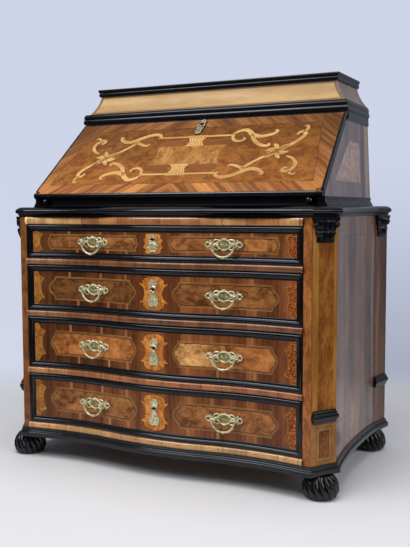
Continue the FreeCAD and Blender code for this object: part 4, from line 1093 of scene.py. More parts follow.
# Moulding lines of the waist and the top board: share of the reach, share of the height, bulge
WAIST_LINE = ((WAIST_ROOT, 0, 0), (WAIST_ROOT, 0.05, 0), (1.0, 0.26, 0.2), (WAIST_ROOT, 0.46, 0.2),
              (WAIST_ROOT, 0.5, 0), (0.62, 0.52, 0), (0.82, 0.7, 0.2), (0.5, 0.88, 0.2), (0.5, 0.92, 0),
              (0.3, 0.95, 0), (0.3, 1, 0))
TOP_LINE = ((0, 0, 0), (0, 0.06, 0), (0.62, 0.24, 0.3), (0.3, 0.4, 0.3), (0.3, 0.46, 0), (0.9, 0.62, -0.15),
            (1.0, 0.78, 0.15), (0.55, 1.0, 0.25))


class DESK_OT_hood(bpy.types.Operator):
    """Waist moulding over the fall, hollow hood and moulded top"""
    bl_idname = "desk.hood"
    bl_label = "Waist, hood and top"

    def execute(self, context):
        back = CASE_DEPTH - MIDDLE_Y
        line = profile(*WAIST_LINE)
        out = column(line[:, 0]) * WAIST_REACH
        z = WAIST_FLOOR + column(line[:, 1]) * (WAIST_TOP - WAIST_FLOOR)
        waist = Sheets()
        self.box_moulding(waist, desk_half(WAIST_FRONT, z) + out, WAIST_FRONT - MIDDLE_Y - out,
                          desk_half(CASE_DEPTH, z) + out, back, z, desk_half(CASE_DEPTH, z))
        self.add_cheeks(waist)
        waist.black_piece("waist_beads", "waist_moulding")

        share = column(np.linspace(0, 1, 25))
        drawn = share + HOOD_HOLLOW * share * (1 - share)
        cove = Sheets()
        half = HOOD_HALF - HOOD_DRAW * drawn
        self.box_moulding(cove, half, HOOD_FRONT + HOOD_FRONT_DRAW * drawn - MIDDLE_Y, half, back,
                          WAIST_TOP + (HOOD_TOP - WAIST_TOP) * share, HOOD_HALF - HOOD_BOARD - HOOD_DRAW * share)
        cove.piece("hood_hollow", FINISHES["cove"], "desk", "walnut_veneer", ["hood_cove"])

        line = profile(*TOP_LINE)
        out = column(line[:, 0]) * TOP_REACH
        z = HOOD_TOP + np.minimum(column(line[:, 1]), 1) * TOP_HEIGHT
        half = TOP_HALF + out
        front = TOP_FRONT - out - MIDDLE_Y
        top = Sheets()
        self.box_moulding(top, half, front, half, back, z)
        for level, up in ((0, -1), (-1, 1)):
            wide, deep = np.broadcast_arrays(half[level] * np.array([[-1, 1]]), [front[level], [back]])
            top.grid(np.stack([wide, deep, np.full((2, 2), z[level, 0])], -1), (0, 0, up))
        top.black_piece("hood_top_board", "hood_top")
        return {"FINISHED"}

    def add_cheeks(self, sheets):
        """Ends of the waist that hang down behind the fall: each level starts at the fall's underside and runs to
        the back of the desk."""
        z = column(np.linspace(WAIST_FLOOR - CHEEK_DROP, WAIST_FLOOR, 9))
        along = (z - PIVOT_Z + FALL_UNDER * math.cos(FALL_SLOPE)) / math.sin(FALL_SLOPE)
        edge = PIVOT_Y + along * math.cos(FALL_SLOPE) + FALL_UNDER * math.sin(FALL_SLOPE) + FALL_GAP
        near = np.clip(edge, WAIST_FRONT, CHEEK_REAR)
        y = near + (CASE_DEPTH - near) * np.linspace(0, 1, 9)[None]
        outer, inner = (np.stack([desk_half(y, z) + reach, y - MIDDLE_Y, z + 0 * y], -1)
                        for reach in (WAIST_ROOT * WAIST_REACH, 0.0))
        for side in BOTH_SIDES:
            sheets.grid(outer * side, side * np.array((1, 0, 0)))
            sheets.grid(np.stack([outer[:, 0], inner[:, 0]], 1) * side, (0, -1, -1))
            sheets.grid(np.stack([outer[0], inner[0]]) * side, (0, 0, -1))
            sheets.grid(np.stack([outer[:, -1], inner[:, -1]], 1) * side, (0, 1, 0))

    def box_moulding(self, sheets, half, front, half_back, back, z, board=0.0):
        """Moulding along a straight front and two sides; half, front and z are columns, one row per level. At the
        back its ends run in to the board's half width."""
        x = half * np.linspace(-1, 1, 33)[None]
        sheets.grid(np.stack([x, front + 0 * x, z + 0 * x], -1), (0, -1, 0))
        share = np.linspace(0, 1, 17)[None]
        side = np.stack([half + (half_back - half) * share, front + (back - front) * share, z + 0 * share], -1)
        sheets.grid(side, (1, 0, 0))
        sheets.grid(side * (-1, 1, 1), (-1, 0, 0))
        end = side[:, -1:]
        inner = np.concatenate([np.maximum(end[..., :1] * 0, np.reshape(board, (-1, 1, 1))), end[..., 1:]], -1)
        for way in BOTH_SIDES:
            sheets.grid(np.concatenate([inner, end], 1) * way, (0, 1, 0))


# Feet: places in plan, outline as shares of radius and height, radius, and depth, number and twist of the lobes
FOOT_PLACES = {"front_left": (-0.468, 0.042), "front_right": (0.468, 0.042), "rear_left": (-0.468, 0.520),
               "rear_right": (0.468, 0.520)}
FOOT_LINE = ((0.72, 0), (0.86, 0.08), (0.98, 0.28), (1.0, 0.48), (0.94, 0.7), (0.8, 0.88), (0.68, 1.0))
FOOT_RADIUS = 0.0487
LOBE_DEPTH = 0.0068
LOBES = 8
LOBE_TWIST = 0.55


class DESK_OT_feet(bpy.types.Operator):
    """Gadrooned bun feet: a turned outline whose radius dips between twisted lobes"""
    bl_idname = "desk.feet"
    bl_label = "Feet"

    def execute(self, context):
        outline = smooth_line(FOOT_LINE, 33)
        turn = circle(193)[None]
        height = column(outline[:, 1])
        lobes = 1 - np.abs(np.cos(LOBES * (turn + LOBE_TWIST * height))) ** 0.7
        fade = np.sin(np.pi * np.clip(height, 0.02, 0.98)) ** 0.5
        radius = FOOT_RADIUS * np.minimum(column(outline[:, 0]), 1) - LOBE_DEPTH * lobes * fade
        for name, (x, y) in FOOT_PLACES.items():
            foot = Sheets()
            points = np.stack([x + radius * np.cos(turn), y - MIDDLE_Y + radius * np.sin(turn),
                               FOOT_HEIGHT * height + 0 * turn], -1)
            ends = [np.broadcast_to((x, y - MIDDLE_Y, z), points[:1].shape) for z in (0, FOOT_HEIGHT)]
            foot.grid(np.concatenate([ends[0], points, ends[1]]))
            foot.black_piece("bun_foot_" + name, "foot_" + name)
        return {"FINISHED"}


# Handle plate in millimetres: half length and half height of its oval, scrolled arms, place and line of the posts
PLATE_HALF = (22.6, 16)
PLATE_ARMS = (((14, 11.5), (20, 13.2), (27, 11.5), (31.5, 6.5), (35, 4.2), (39, 6.5), (40, 9.6), (37.5, 10.6),
               (36.3, 8.6)), ((20, 3), (27, 2.2), (33, 0.2), (36, 0)))
ROUNDEL_X = 45
ROUNDEL_RADIUS = 6.4
BAIL_POST_X = 25
BAIL_POST = ((0, 5.2), (2.2, 5.0), (3.4, 3.4), (9.5, 3.0), (11, 4.0), (15.5, 4.0), (17, 2.6), (17, 0))
BAIL_DROP = 32.5

# Keyhole plates in millimetres: half sizes of the slot, radii of the hole, round foot and crown, and heights
SLOT_HALF = (6.8, 2.2)
HOLE_RADIUS = 3.6
PLATE_FOOT = 18.0
PLATE_CROWN = 13.5
KEY_PLATE = {1: 50, 2: 80, 3: 80, 4: 80}

# How far the keyholes lie over the drawer's middle, in metres
KEY_RISE = 0.012

# Lock cases: half width, depths behind the stiles, height, and how far their top lies over the drawer's middle
LOCK_HALF = 0.032
LOCK_DEPTHS = (0.034, 0.043)
LOCK_HEIGHT = 0.040
LOCK_TOP = {1: 0.03005, 2: 0.032, 3: 0.032, 4: 0.032}


def brass_plate():
    """Handle plate in its own frame, in metres: x along the drawer, y up, z outwards. An oval rope rim, two
    scrolled arms and a pierced roundel each side, and the two posts of the bail; then the oval boss by itself."""
    plate = Sheets()
    boss = Sheets()
    turn = circle(97)[None]
    scallop = 1 + 0.035 * np.cos(14 * turn)
    share = column(np.linspace(0.66, 1, 15))
    rim = 1.6 + 2.6 * np.sin(np.pi * np.clip((share - 0.68) / 0.3, 0, 1)) * (1 + 0.2 * np.sin(28 * turn + 9 * share))
    high = rim * np.where(share > 0.985, 0.0, 1.0)
    long, tall = PLATE_HALF
    oval = np.stack([long * share * scallop * np.cos(turn), tall * share * scallop * np.sin(turn), high], -1)
    plate.grid(oval, (0, 0, 1))
    share = column(np.linspace(0, 0.72, 17))
    dome = 2.2 + 0.9 * np.cos(share / 0.72 * np.pi / 2) + 0.35 * np.cos(10 * turn) * np.sin(np.pi * share / 0.72)
    boss.grid(np.stack([long * share * np.cos(turn), tall * share * np.sin(turn), dome], -1), (0, 0, 1))
    for left in (1, -1):
        for up in (1, -1):
            for arm in PLATE_ARMS:
                path = smooth_line(np.array(arm) * (left, up), 33)
                path = np.column_stack([path, np.full(len(path), 1.6)])
                plate.tube(path, np.linspace(2.6, 1.5, len(path)), 0.9)
        ring = circle(33)
        path = np.column_stack([left * ROUNDEL_X + ROUNDEL_RADIUS * np.cos(ring), ROUNDEL_RADIUS * np.sin(ring),
                                np.full(33, 1.7)])
        plate.tube(path, 2.3 * (1 + 0.1 * np.cos(8 * ring)))
        across = np.linspace(-1, 1, 7)[None]
        x = column(np.linspace(17, 39, 9))
        half = 6.8 - 3.2 * (x - 17) / 22
        plate.grid(np.stack([left * x + 0 * across, half * across, 1.5 - 0.9 * across ** 4 + 0 * x], -1), (0, 0, 1))
        for end_x, end_y, end_r in ((52.6, 0, 2.0), (ROUNDEL_X, 8.2, 1.6), (ROUNDEL_X, -8.2, 1.6)):
            add_ball(plate, (left * end_x, end_y, 1.4), (end_r, end_r, end_r))
        add_turned(plate, (left * BAIL_POST_X, 0), BAIL_POST)
    for up in (1, -1):
        for x, radius in ((0, 3.4), (6.0, 2.4), (-6.0, 2.4)):
            add_ball(plate, (x, up * (15.2 - abs(x) * 0.12), 1.2), (radius, radius * 1.05, 2.2))
    return [sheets.moved(in_metres) for sheets in (plate, boss)]


def add_ball(sheets, middle, radii):
    """Ellipsoid: middle + radii * (sin t cos p, sin t sin p, cos t)."""
    t = column(np.linspace(0, np.pi, 9))
    p = circle(13)[None]
    unit = np.stack([np.sin(t) * np.cos(p), np.sin(t) * np.sin(p), np.cos(t) + 0 * p], -1)
    sheets.grid(np.asarray(middle, float) + np.asarray(radii, float) * unit)


def add_turned(sheets, middle, outline):
    """Turned shape that stands out along z: each outline point (height, radius) makes a circle."""
    outline = np.asarray(outline, float)
    turn = circle(17)[None]
    height = column(outline[:, 0])
    radius = column(outline[:, 1])
    sheets.grid(np.stack([middle[0] + radius * np.cos(turn), middle[1] + radius * np.sin(turn), height + 0 * turn], -1))


def brass_bail():
    """Hanging bail in the handle's frame: a bowed rod, thicker towards its knop, with an eye at each end."""
    bail = Sheets()
    reach = BAIL_POST_X + 4.0 + 1.2 + 2.5
    drop = BAIL_DROP
    bow = (reach ** 2 + drop ** 2) / (2 * drop)
    sweep = math.atan2(reach, bow - drop)
    turn = np.linspace(-sweep, sweep, 49)
    path = np.column_stack([bow * np.sin(turn), bow - drop - bow * np.cos(turn), 0 * turn])
    middle = 1 - np.abs(turn) / sweep
    swell = 0.5 * np.exp(-((middle - 0.45) / 0.16) ** 2)
    bail.tube(path, 2.3 + 0.6 * middle + swell)
    for radius, tall, y in ((3.0, 4.0, -drop), (2.2, 1.6, -drop - 3.2)):
        add_ball(bail, (0, y, 0), (radius, tall, radius))
    for left in (1, -1):
        add_ball(bail, (left * 4.4, -drop + 0.3, 0), (1.3, 3.0, 3.0))
        pin = np.array([(21.0, 0, 0), (reach, 0, 0)]) * (left, 1, 1)
        bail.tube(pin, 1.5, across=(0, 0, 1))
        eye = np.linspace(reach - 2.5, reach + 2.5, 9)
        bail.tube(np.column_stack([left * eye, 0 * eye, 0 * eye]), 4.0 * np.sqrt(1 - 0.5 * ((eye - reach) / 2.6) ** 4))
    return bail.moved(in_metres)


def keyhole_outline(turn):
    """Edge of a keyhole in millimetres: a circle joined with a level slot, as a distance for each turn."""
    across, up = np.cos(turn), np.sin(turn)
    long, tall = SLOT_HALF
    reach = np.minimum(long / np.maximum(np.abs(across), 1e-3), tall / np.maximum(np.abs(up), 1e-3))
    return np.stack([across, up], -1) * np.maximum(reach, HOLE_RADIUS)[..., None]


def keyhole_plate(height):
    """Keyhole plate in its own frame round its keyhole, in metres: rays from the keyhole's edge to an outline
    that joins a round foot and a crown, with a raised rim, a ribbed shell below and a crown above."""
    plate = Sheets()
    rise = KEY_RISE * 1000
    foot = (-height / 2 + PLATE_FOOT - rise, PLATE_FOOT)
    crown = (height / 2 - PLATE_CROWN - rise, PLATE_CROWN)
    turn = circle(181)[None]
    across, up = np.cos(turn), np.sin(turn)
    reach = np.full(turn.shape, 10.0)
    for middle, radius in (foot, crown):
        along = middle * up
        inside = radius ** 2 - middle ** 2 + along ** 2
        far = along + np.sqrt(np.maximum(inside, 0))
        reach = np.maximum(reach, np.where(inside > 0, far, 0))
    reach = reach * (0.965 + 0.035 * np.cos(14 * turn))
    hole = np.linalg.norm(keyhole_outline(turn), axis=-1)
    share = column(np.linspace(0, 1, 33))
    radius = hole + (reach - hole) * share
    x, y = radius * across, radius * up
    rim = 1.5 * np.exp(-((radius - hole - 3.6) / 1.3) ** 2)
    far = np.sqrt(x ** 2 + (y - foot[0]) ** 2)
    angle = np.arctan2(x, y - foot[0] - 9)
    shell = np.clip(1 - (far / 15.5) ** 2, 0, 1) * (1.7 + 0.9 * np.cos(11 * angle))
    leaf = np.clip(1 - ((y - crown[0] - 8) / 9) ** 2, 0, 1) * (1.2 + 0.8 * np.cos(x * 1.1))
    edge = 1.3 * np.exp(-((share - 0.92) / 0.05) ** 2)
    high = (1.5 + np.maximum(np.maximum(rim, shell * (radius > hole + 2)), np.maximum(leaf, edge))) * (share < 0.995)
    plate.grid(np.stack([x, y, high], -1), (0, 0, 1))
    wall = np.stack([np.concatenate([x[:1], x[:1]]), np.concatenate([y[:1], y[:1]]),
                     np.concatenate([0 * x[:1], high[:1]])], -1)
    plate.grid(wall)
    plate.faces[-1] = plate.faces[-1][:, ::-1]
    return plate.moved(in_metres)


def on_drawer(x, z):
    """Puts a shape of the brass's own frame on the drawer face at x and z, bent to it."""
    turn = math.atan(front_slope(x))
    return lambda points: on_panel(x + points[..., 0] * math.cos(turn), z + points[..., 1], points[..., 2])


def off_drawer(x, z):
    """Puts a stiff shape of the handle's frame over the drawer face at x and z, at the bail's stand-off."""
    turn = math.atan(front_slope(x))
    along = np.array((math.cos(turn), math.sin(turn), 0))
    out = np.array((math.sin(turn), -math.cos(turn), 0))
    start = np.array((x, float(front_y(x, -PANEL_RECESS)), z)) + out * BAIL_OUT
    return lambda points: start + points[..., :1] * along + points[..., 1:2] * (0, 0, 1) + points[..., 2:] * out


def add_block(sheets, low, high):
    """Box between two corners, its six faces as grids."""
    low = np.asarray(low, float)
    high = np.asarray(high, float)
    for axis in range(3):
        first, second = [other for other in range(3) if other != axis]
        for value, way in ((low, -1), (high, 1)):
            face = np.zeros((2, 2, 3))
            face[..., axis] = value[axis]
            face[..., first] = np.array((low[first], high[first]))[:, None]
            face[..., second] = np.array((low[second], high[second]))[None]
            sheets.grid(face, way * np.eye(3)[axis])


class DESK_OT_brass(bpy.types.Operator):
    """Handle plates, bails, keyhole plates and lock cases of the drawers"""
    bl_idname = "desk.brass"
    bl_label = "Brass"

    def execute(self, context):
        for number, (low, high) in DRAWERS.items():
            middle = (low + high) / 2
            mounts = Sheets()
            bosses = Sheets()
            for x in (-HANDLE_X, HANDLE_X):
                for sheets, own in zip((mounts, bosses), brass_plate()):
                    sheets.add(own.moved(on_drawer(x, middle)))
            mounts.add(keyhole_plate(KEY_PLATE[number]).moved(on_drawer(0, middle + KEY_RISE)))
            top = middle + LOCK_TOP[number]
            near, far = (depth - MIDDLE_Y for depth in LOCK_DEPTHS)
            add_block(mounts, (-LOCK_HALF, near, top - LOCK_HEIGHT), (LOCK_HALF, far, top))
            body = "drawer_%d" % number
            bosses.piece(body + "_bosses", FINISHES["boss"], body, "brass")
            mounts.piece(body + "_brass", FINISHES["brass"], body, "brass", [body + "_mounts"])
            for side, x in (("left", -HANDLE_X), ("right", HANDLE_X)):
                bail = Sheets()
                bail.add(brass_bail().moved(off_drawer(x, middle)))
                own = "%s_bail_%s" % (body, side)
                bail.piece("drop_" + own, FINISHES["brass"], own, "brass", [own])
        return {"FINISHED"}


def lay_strip(sheets, path, width, place, out):
    """Flat strip on a face: each point of the path plus and minus half the width along its normal."""
    path = np.asarray(path, float)
    along = np.gradient(path, axis=0)
    along /= np.linalg.norm(along, axis=1, keepdims=True) + 1e-12
    side = np.stack([-along[:, 1], along[:, 0]], 1) * column(np.broadcast_to(width, len(path))) / 2
    sheets.grid(place(np.stack([path - side, path, path + side], 1)), out)


def lay_between(sheets, first, second, place, out, rows=7):
    """Flat veneer between two lines with as many points: first (1 - t) + second t."""
    share = np.linspace(0, 1, rows)[:, None, None]
    sheets.grid(place(np.asarray(first) * (1 - share) + np.asarray(second) * share), out)


DRAWER_OUT = (0, -1, 0)
FALL_OUT = (0, -math.sin(FALL_SLOPE), math.cos(FALL_SLOPE))


def panel_outline(inner, outer, half, depth):
    """Upper half of a panel's outline about its middle height, from the inner tip to the outer tip. Each end is
    a round lobe between two notches, given as shares of depth and half height."""
    notch = smooth_line(((0, 1), (0.03, 0.86), (0.14, 0.70), (0.36, 0.60)), 9)
    lobe = smooth_line(((0.40, 0.52), (0.62, 0.44), (0.86, 0.26), (1.0, 0.0)), 9)
    end = np.concatenate([notch, lobe])
    top = np.stack([np.linspace(inner, outer, 41)[1:-1], np.full(39, half)], 1)
    near = np.stack([inner - depth * end[::-1, 0], half * end[::-1, 1]], 1)
    far = np.stack([outer + depth * end[:, 0], half * end[:, 1]], 1)
    return np.concatenate([near, top, far])


# Upper right quarter of the cartouches, as shares of the half width and half height
TALL_CARTOUCHE = (((0, 1.0), (0.34, 0.97), (0.60, 0.87), (0.74, 0.71), (0.71, 0.60)),
                  ((0.77, 0.57), (1.0, 0.60)), ((1.0, 0.60), (0.90, 0.47), (0.76, 0.37), (0.65, 0.2), (0.61, 0.0)))
LOW_CARTOUCHE = (((0, 1.0), (0.50, 0.98), (0.78, 0.80), (0.70, 0.56)), ((0.80, 0.50), (1.0, 0.34)),
                 ((1.0, 0.34), (0.86, 0.16), (0.82, 0.0)))


def cartouche_outline(parts, wide, tall):
    """Closed outline from the upper right quarter of a cartouche, given as smooth parts that meet in points."""
    quarter = np.concatenate([smooth_line(part, 9) for part in parts]) * (wide, tall)
    right = np.concatenate([quarter, quarter[-2::-1] * (1, -1)])
    return np.concatenate([right, right[-2::-1] * (-1, 1)])


# Panels of each drawer: inner and outer corner, half height, depth of the lobed ends, wood of the panel
PANELS = {1: (0.062, 0.352, 0.0165, 0.007, "burl"), 2: (0.083, 0.338, 0.0285, 0.020, "burl"),
          3: (0.079, 0.338, 0.0310, 0.016, "burl_pale"), 4: (0.082, 0.337, 0.0300, 0.020, "burl")}

# Cartouche of each drawer: outline, half width and half height
CARTOUCHES = {1: (LOW_CARTOUCHE, 0.033, 0.0285), 2: (TALL_CARTOUCHE, 0.047, 0.0475),
              3: (TALL_CARTOUCHE, 0.046, 0.0525), 4: (TALL_CARTOUCHE, 0.047, 0.051)}

# Bars over and under the panels, their half width, the panels' border, and the keyhole's painted shade in inlay heights
BARS_ABOVE = (-0.292, -0.181, -0.092, 0.106, 0.171, 0.286)
BARS_BELOW = (-0.264, -0.155, -0.088, 0.103, 0.188, 0.295)
BAR_HALF = 0.0042
PANEL_BORDER = 0.0050
DRAWER_PLATE_TOP = 17.0

# End pieces: x of the outer edge, and inner edge as share of the half height and x; the first drawer has its own
END_RIM = 0.414
END_LINE = ((-1, 0.402), (-0.84, 0.397), (-0.68, 0.3905), (-0.58, 0.379), (-0.46, 0.3835), (-0.25, 0.3885),
            (0, 0.3895))
FIRST_END_LINE = ((-1, 0.400), (-0.86, 0.394), (-0.72, 0.382), (-0.5, 0.3870), (-0.25, 0.3900), (0, 0.3905))


class DESK_OT_marquetry(bpy.types.Operator):
    """Inlaid panels, cartouches, end pieces and bars of the drawer fronts"""
    bl_idname = "desk.marquetry"
    bl_label = "Drawer marquetry"

    def execute(self, context):
        sizes = context.scene.desk_sizes
        for number, (low, high) in DRAWERS.items():
            middle = (low + high) / 2

            def place(layer):
                return lambda points: on_panel(points[..., 0], middle + points[..., 1], sizes.inlay * layer)

            woods = {name: Sheets() for name in ("burl", "band", "amber", "string", "pale", "bar")}
            inner, outer, half, depth, wood = PANELS[number]

            def panel_line(grow, side):
                return panel_outline(inner - grow, outer + grow, half + grow, depth) * side

            for side in LEFT_RIGHT:
                for name, grow, layer in (("band", PANEL_BORDER, 0.6), ("burl", 0.0, 1.0)):
                    upper = panel_line(grow, side)
                    lay_between(woods[name], upper, upper * (1, -1), place(layer), DRAWER_OUT)
                for wood_line, grow, share in (("pale", PANEL_BORDER, 0.6), ("string", 0.0, 0.8),
                                               ("pale", 0.0018, 0.5)):
                    upper = panel_line(grow, side)
                    line = np.concatenate([upper, upper[::-1] * (1, -1)])
                    lay_strip(woods[wood_line], line, sizes.string * share, place(1.4), DRAWER_OUT)
            parts, wide, tall = CARTOUCHES[number]
            outline = cartouche_outline(parts, wide, tall)
            lay_between(woods["amber"], outline * 0.0, outline, place(1.0), DRAWER_OUT, 13)
            lay_strip(woods["string"], outline, sizes.string * 0.6, place(1.4), DRAWER_OUT)
            top = (high - low) / 2 - FRAME_WIDTH + 0.001
            shape = np.array(FIRST_END_LINE if number == 1 else END_LINE) * (top, 1)
            curve = smooth_line(np.concatenate([shape, shape[-2::-1] * (-1, 1)]), 61)[:, ::-1]
            rim = np.stack([np.full(len(curve), END_RIM), curve[:, 1]], 1)
            for side in LEFT_RIGHT:
                lay_between(woods["amber"], curve * side, rim * side, place(1.0), DRAWER_OUT)
                lay_strip(woods["pale"], curve * side, sizes.string * 0.5, place(1.4), DRAWER_OUT)
            for bars, up in ((BARS_ABOVE, 1), (BARS_BELOW, -1)):
                for x in bars:
                    edges = np.array([x - BAR_HALF, x + BAR_HALF])
                    near = np.stack([edges, np.full(2, up * (half + PANEL_BORDER))], 1)
                    far = np.stack([edges, np.full(2, up * top)], 1)
                    lay_between(woods["bar"], near, far, place(0.8), DRAWER_OUT)
            # Painted shade: a dark keyhole-shaped sheet over the keyhole stands for the dark inside of the hole
            slot = keyhole_outline(circle(73)) / 1000 + (0, KEY_RISE)
            lay_between(woods["string"], slot * 0 + (0, KEY_RISE), slot, place(DRAWER_PLATE_TOP), DRAWER_OUT, 3)
            finish = {"burl": wood, "band": "ground", "pale": "pale_line"}
            for name, sheets in woods.items():
                sheets.piece("drawer_%d_inlay_%s" % (number, name), FINISHES[finish.get(name, name)],
                             "drawer_%d" % number, "walnut_veneer")
        return {"FINISHED"}


# Strapwork of the fall's right half in millimetres: points (across, up the slope), then widths at start, middle and end
STRAPS = (
    (((26, 80), (80, 80), (124, 80)), (5.5, 5.5, 5.5)),
    (((131, 84), (126, 75), (133, 66), (150, 61), (172, 66), (195, 77), (222, 93), (245, 92), (262, 82), (268, 72),
      (261, 68)), (4, 11, 4)),
    (((205, 101), (190, 104), (172, 112), (159, 114), (153, 106)), (8, 7, 3)),
    (((196, 92), (206, 104), (222, 122), (245, 142), (272, 163)), (9, 7, 8)),
    (((272, 163), (300, 184), (326, 207), (342, 228), (347, 244), (338, 256), (326, 249), (324, 240)), (8, 9, 4)),
    (((339, 252), (348, 266), (345, 281), (335, 280)), (7, 6, 4)),
    (((26, 252), (80, 252), (122, 252)), (5.5, 5.5, 5.5)),
    (((120, 252), (127, 261), (140, 271), (157, 274), (172, 264), (185, 250), (210, 240), (236, 244), (254, 254),
      (258, 264), (250, 267)), (5, 11, 4)),
    (((126, 262), (124, 243), (134, 227), (152, 222), (166, 230), (160, 238)), (5, 7, 3)),
    (((182, 254), (190, 236), (205, 215), (226, 200), (246, 195), (250, 203), (243, 206)), (7, 9, 3)),
    (((318, 146), (338, 135), (353, 113), (349, 91), (334, 80), (322, 86), (327, 96), (335, 92)), (4, 9, 3)),
    (((341, 84), (348, 72), (358, 68), (364, 74)), (6, 5, 3)),
    (((253, 142), (267, 158), (283, 170)), (3, 14, 5)),
    (((313, 199), (299, 184), (283, 170)), (3, 14, 5)),
    (((248, 172), (265, 177), (283, 169)), (3, 12, 5)),
    (((318, 165), (300, 162), (283, 170)), (3, 12, 5)),
    (((266, 203), (277, 189), (283, 168)), (3, 10, 5)),
    (((298, 137), (288, 152), (283, 170)), (3, 10, 5)),
)
STRAP_MIDDLE = np.array((3.0, 166.0))
STRAP_BLOCK = ((-20, 208), (-12, 226), (-17, 240), (-24, 258), (40, 258), (33, 240), (30, 226), (42, 208))
BLOCK_CUTS = (0.14, 0.32, 0.5, 0.68, 0.86)
RED_BARS = ((45, 128), (-112, -26))
RED_BAR_RISE = (211, 236)

# Light panel of the fall, in metres: left and right end, middle and half height, hollow of its ends
LIGHT_PANEL = (-0.112, 0.118, 0.166, 0.043, 0.012)

# Keyhole of the fall, up its slope, and the level of its painted keyhole shade in inlay heights
FALL_KEY = 0.309
FALL_PLATE_TOP = 32.0


def fall_plate():
    """Pierced scrollwork of the fall's keyhole plate round its keyhole, in metres: tubes along smooth lines for
    the edges, a ring at the keyhole and two leaf loops below it."""
    plate = Sheets()
    edge = ((0, 23), (5.5, 19.5), (8, 14.5), (4.6, 10.5), (8.6, 6), (10, 0), (8.4, -7), (10, -14), (8, -22), (4, -27),
            (8, -33), (7.6, -40), (0, -46.5))
    loops = (((0, -12), (5.5, -17), (0, -24)), ((0, -30), (4.2, -36.5), (0, -43)), ((0, 9), (3.4, 13.5), (0, 20)))
    for left in (1, -1):
        for points, radius in ((edge, 1.5), *((loop, 1.1) for loop in loops)):
            path = smooth_line(np.array(points) * (left, 1), 8 * len(points))
            plate.tube(np.column_stack([path, np.full(len(path), 3.0)]), radius)
    turn = circle(49)
    plate.tube(np.column_stack([8.0 * np.cos(turn), 6.4 * np.sin(turn), np.full(49, 3.2)]), 1.2)
    return plate.moved(in_metres)


class DESK_OT_strapwork(bpy.types.Operator):
    """Maple strapwork, blocks, bars and light panel of the fall"""
    bl_idname = "desk.strapwork"
    bl_label = "Fall strapwork"

    def execute(self, context):
        sizes = context.scene.desk_sizes

        def place(layer):
            return lambda points: on_fall(points[..., 0], points[..., 1], FALL_FACE + sizes.inlay * layer)

        woods = {name: Sheets() for name in ("maple", "burl_light", "red_bar", "string")}
        share = np.linspace(0, 1, 31)
        swell = np.array([(1 - share) ** 2, 2 * share * (1 - share), share ** 2])
        for way in (1, -1):
            for points, (start, middle, end) in STRAPS:
                points = STRAP_MIDDLE + (np.array(points, float) - STRAP_MIDDLE) * way
                count = 12 * len(points)
                widths = np.array((start, 2 * middle - (start + end) / 2, end)) * sizes.strap_share
                grown = np.interp(np.linspace(0, 1, count), share, swell.T @ widths)
                path = smooth_line(points, count) / 1000
                lay_strip(woods["string"], path, (grown + 1.6) / 1000, place(1.0), FALL_OUT)
                lay_strip(woods["maple"], path, grown / 1000, place(1.6), FALL_OUT)
            block = (STRAP_MIDDLE + (np.array(STRAP_BLOCK) - STRAP_MIDDLE) * way) / 1000
            left = smooth_line(block[:4], 13)
            right = smooth_line(block[:3:-1], 13)
            lay_between(woods["maple"], left, right, place(1.4), FALL_OUT)
            for part in BLOCK_CUTS:
                line = (left * (1 - part) + right * part)[1:-1]
                lay_strip(woods["string"], line, 0.0011, place(1.9), FALL_OUT)
            for ends in RED_BARS:
                bar = np.array([(x, up) for up in RED_BAR_RISE for x in ends])
                bar = (STRAP_MIDDLE + (bar - STRAP_MIDDLE) * way) / 1000
                lay_between(woods["red_bar"], bar[:2], bar[2:], place(1.0), FALL_OUT)
        y = np.linspace(-1, 1, 41)
        left, right, middle, half, depth = LIGHT_PANEL
        hollow = depth * (1 - y ** 2)
        up = middle + half * y
        lay_between(woods["burl_light"], np.stack([left + hollow, up], 1), np.stack([right - hollow, up], 1),
                    place(0.8), FALL_OUT, 21)
        # Painted shade: a dark keyhole-shaped sheet over the fall's keyhole stands for the dark inside of the hole
        hole = keyhole_outline(circle(73)) / 1000 + (0, FALL_KEY)
        lay_between(woods["string"], hole * 0 + (0, FALL_KEY), hole, place(FALL_PLATE_TOP), FALL_OUT, 3)
        for name, sheets in woods.items():
            sheets.piece("fall_inlay_" + name, FINISHES[name], "fall", "walnut_veneer")
        plate = fall_plate().moved(lambda points: on_fall(points[..., 0], points[..., 1] + FALL_KEY,
                                                          points[..., 2] + FALL_FACE))
        plate.piece("fall_keyhole_plate", FINISHES["brass"], "fall", "brass")
        return {"FINISHED"}


# Straight faces of the pilasters, on the right: start, direction along, outward normal, length
POST_FACES = ((CHEST_CORNERS[0][0], (0.5408, 0.8412), (0.8412, -0.5408), 0.0832),
              (CHEST_CORNERS[2][0], (0.1915, 0.9815), (0.9815, -0.1915), 0.0835))


def on_post(face, side, across, out, z):
    """Points on a pilaster face: across runs from -1 to 1 over its length, out is along its normal."""
    start, along, normal, length = (np.asarray(value, float) for value in face)
    across, out, z = np.broadcast_arrays(across, out, z)
    run = ((across + 1) / 2 * length)[..., None]
    plan = start + run * along + out[..., None] * normal
    return np.stack([side * plan[..., 0], plan[..., 1] - MIDDLE_Y, z], -1)


def post_way(face, side):
    """Outward direction of a pilaster face."""
    return np.array((side * face[2][0], face[2][1], 0))


# Moulded block from its foot: share of its height, of its width and of its reach
BLOCK_LINE = ((0, 0.86, 0.42), (0.10, 0.87, 0.52), (0.14, 0.90, 0.66), (0.28, 0.92, 0.74), (0.36, 0.97, 0.95),
              (0.5, 1.0, 1.0), (0.64, 0.97, 0.95), (0.72, 0.92, 0.74), (0.86, 0.90, 0.66), (0.90, 0.87, 0.52),
              (1, 0.87, 0.42))
BLOCK_FLOOR = 0.197
BLOCK_HEIGHT = 0.034
BLOCK_REACH = 0.011

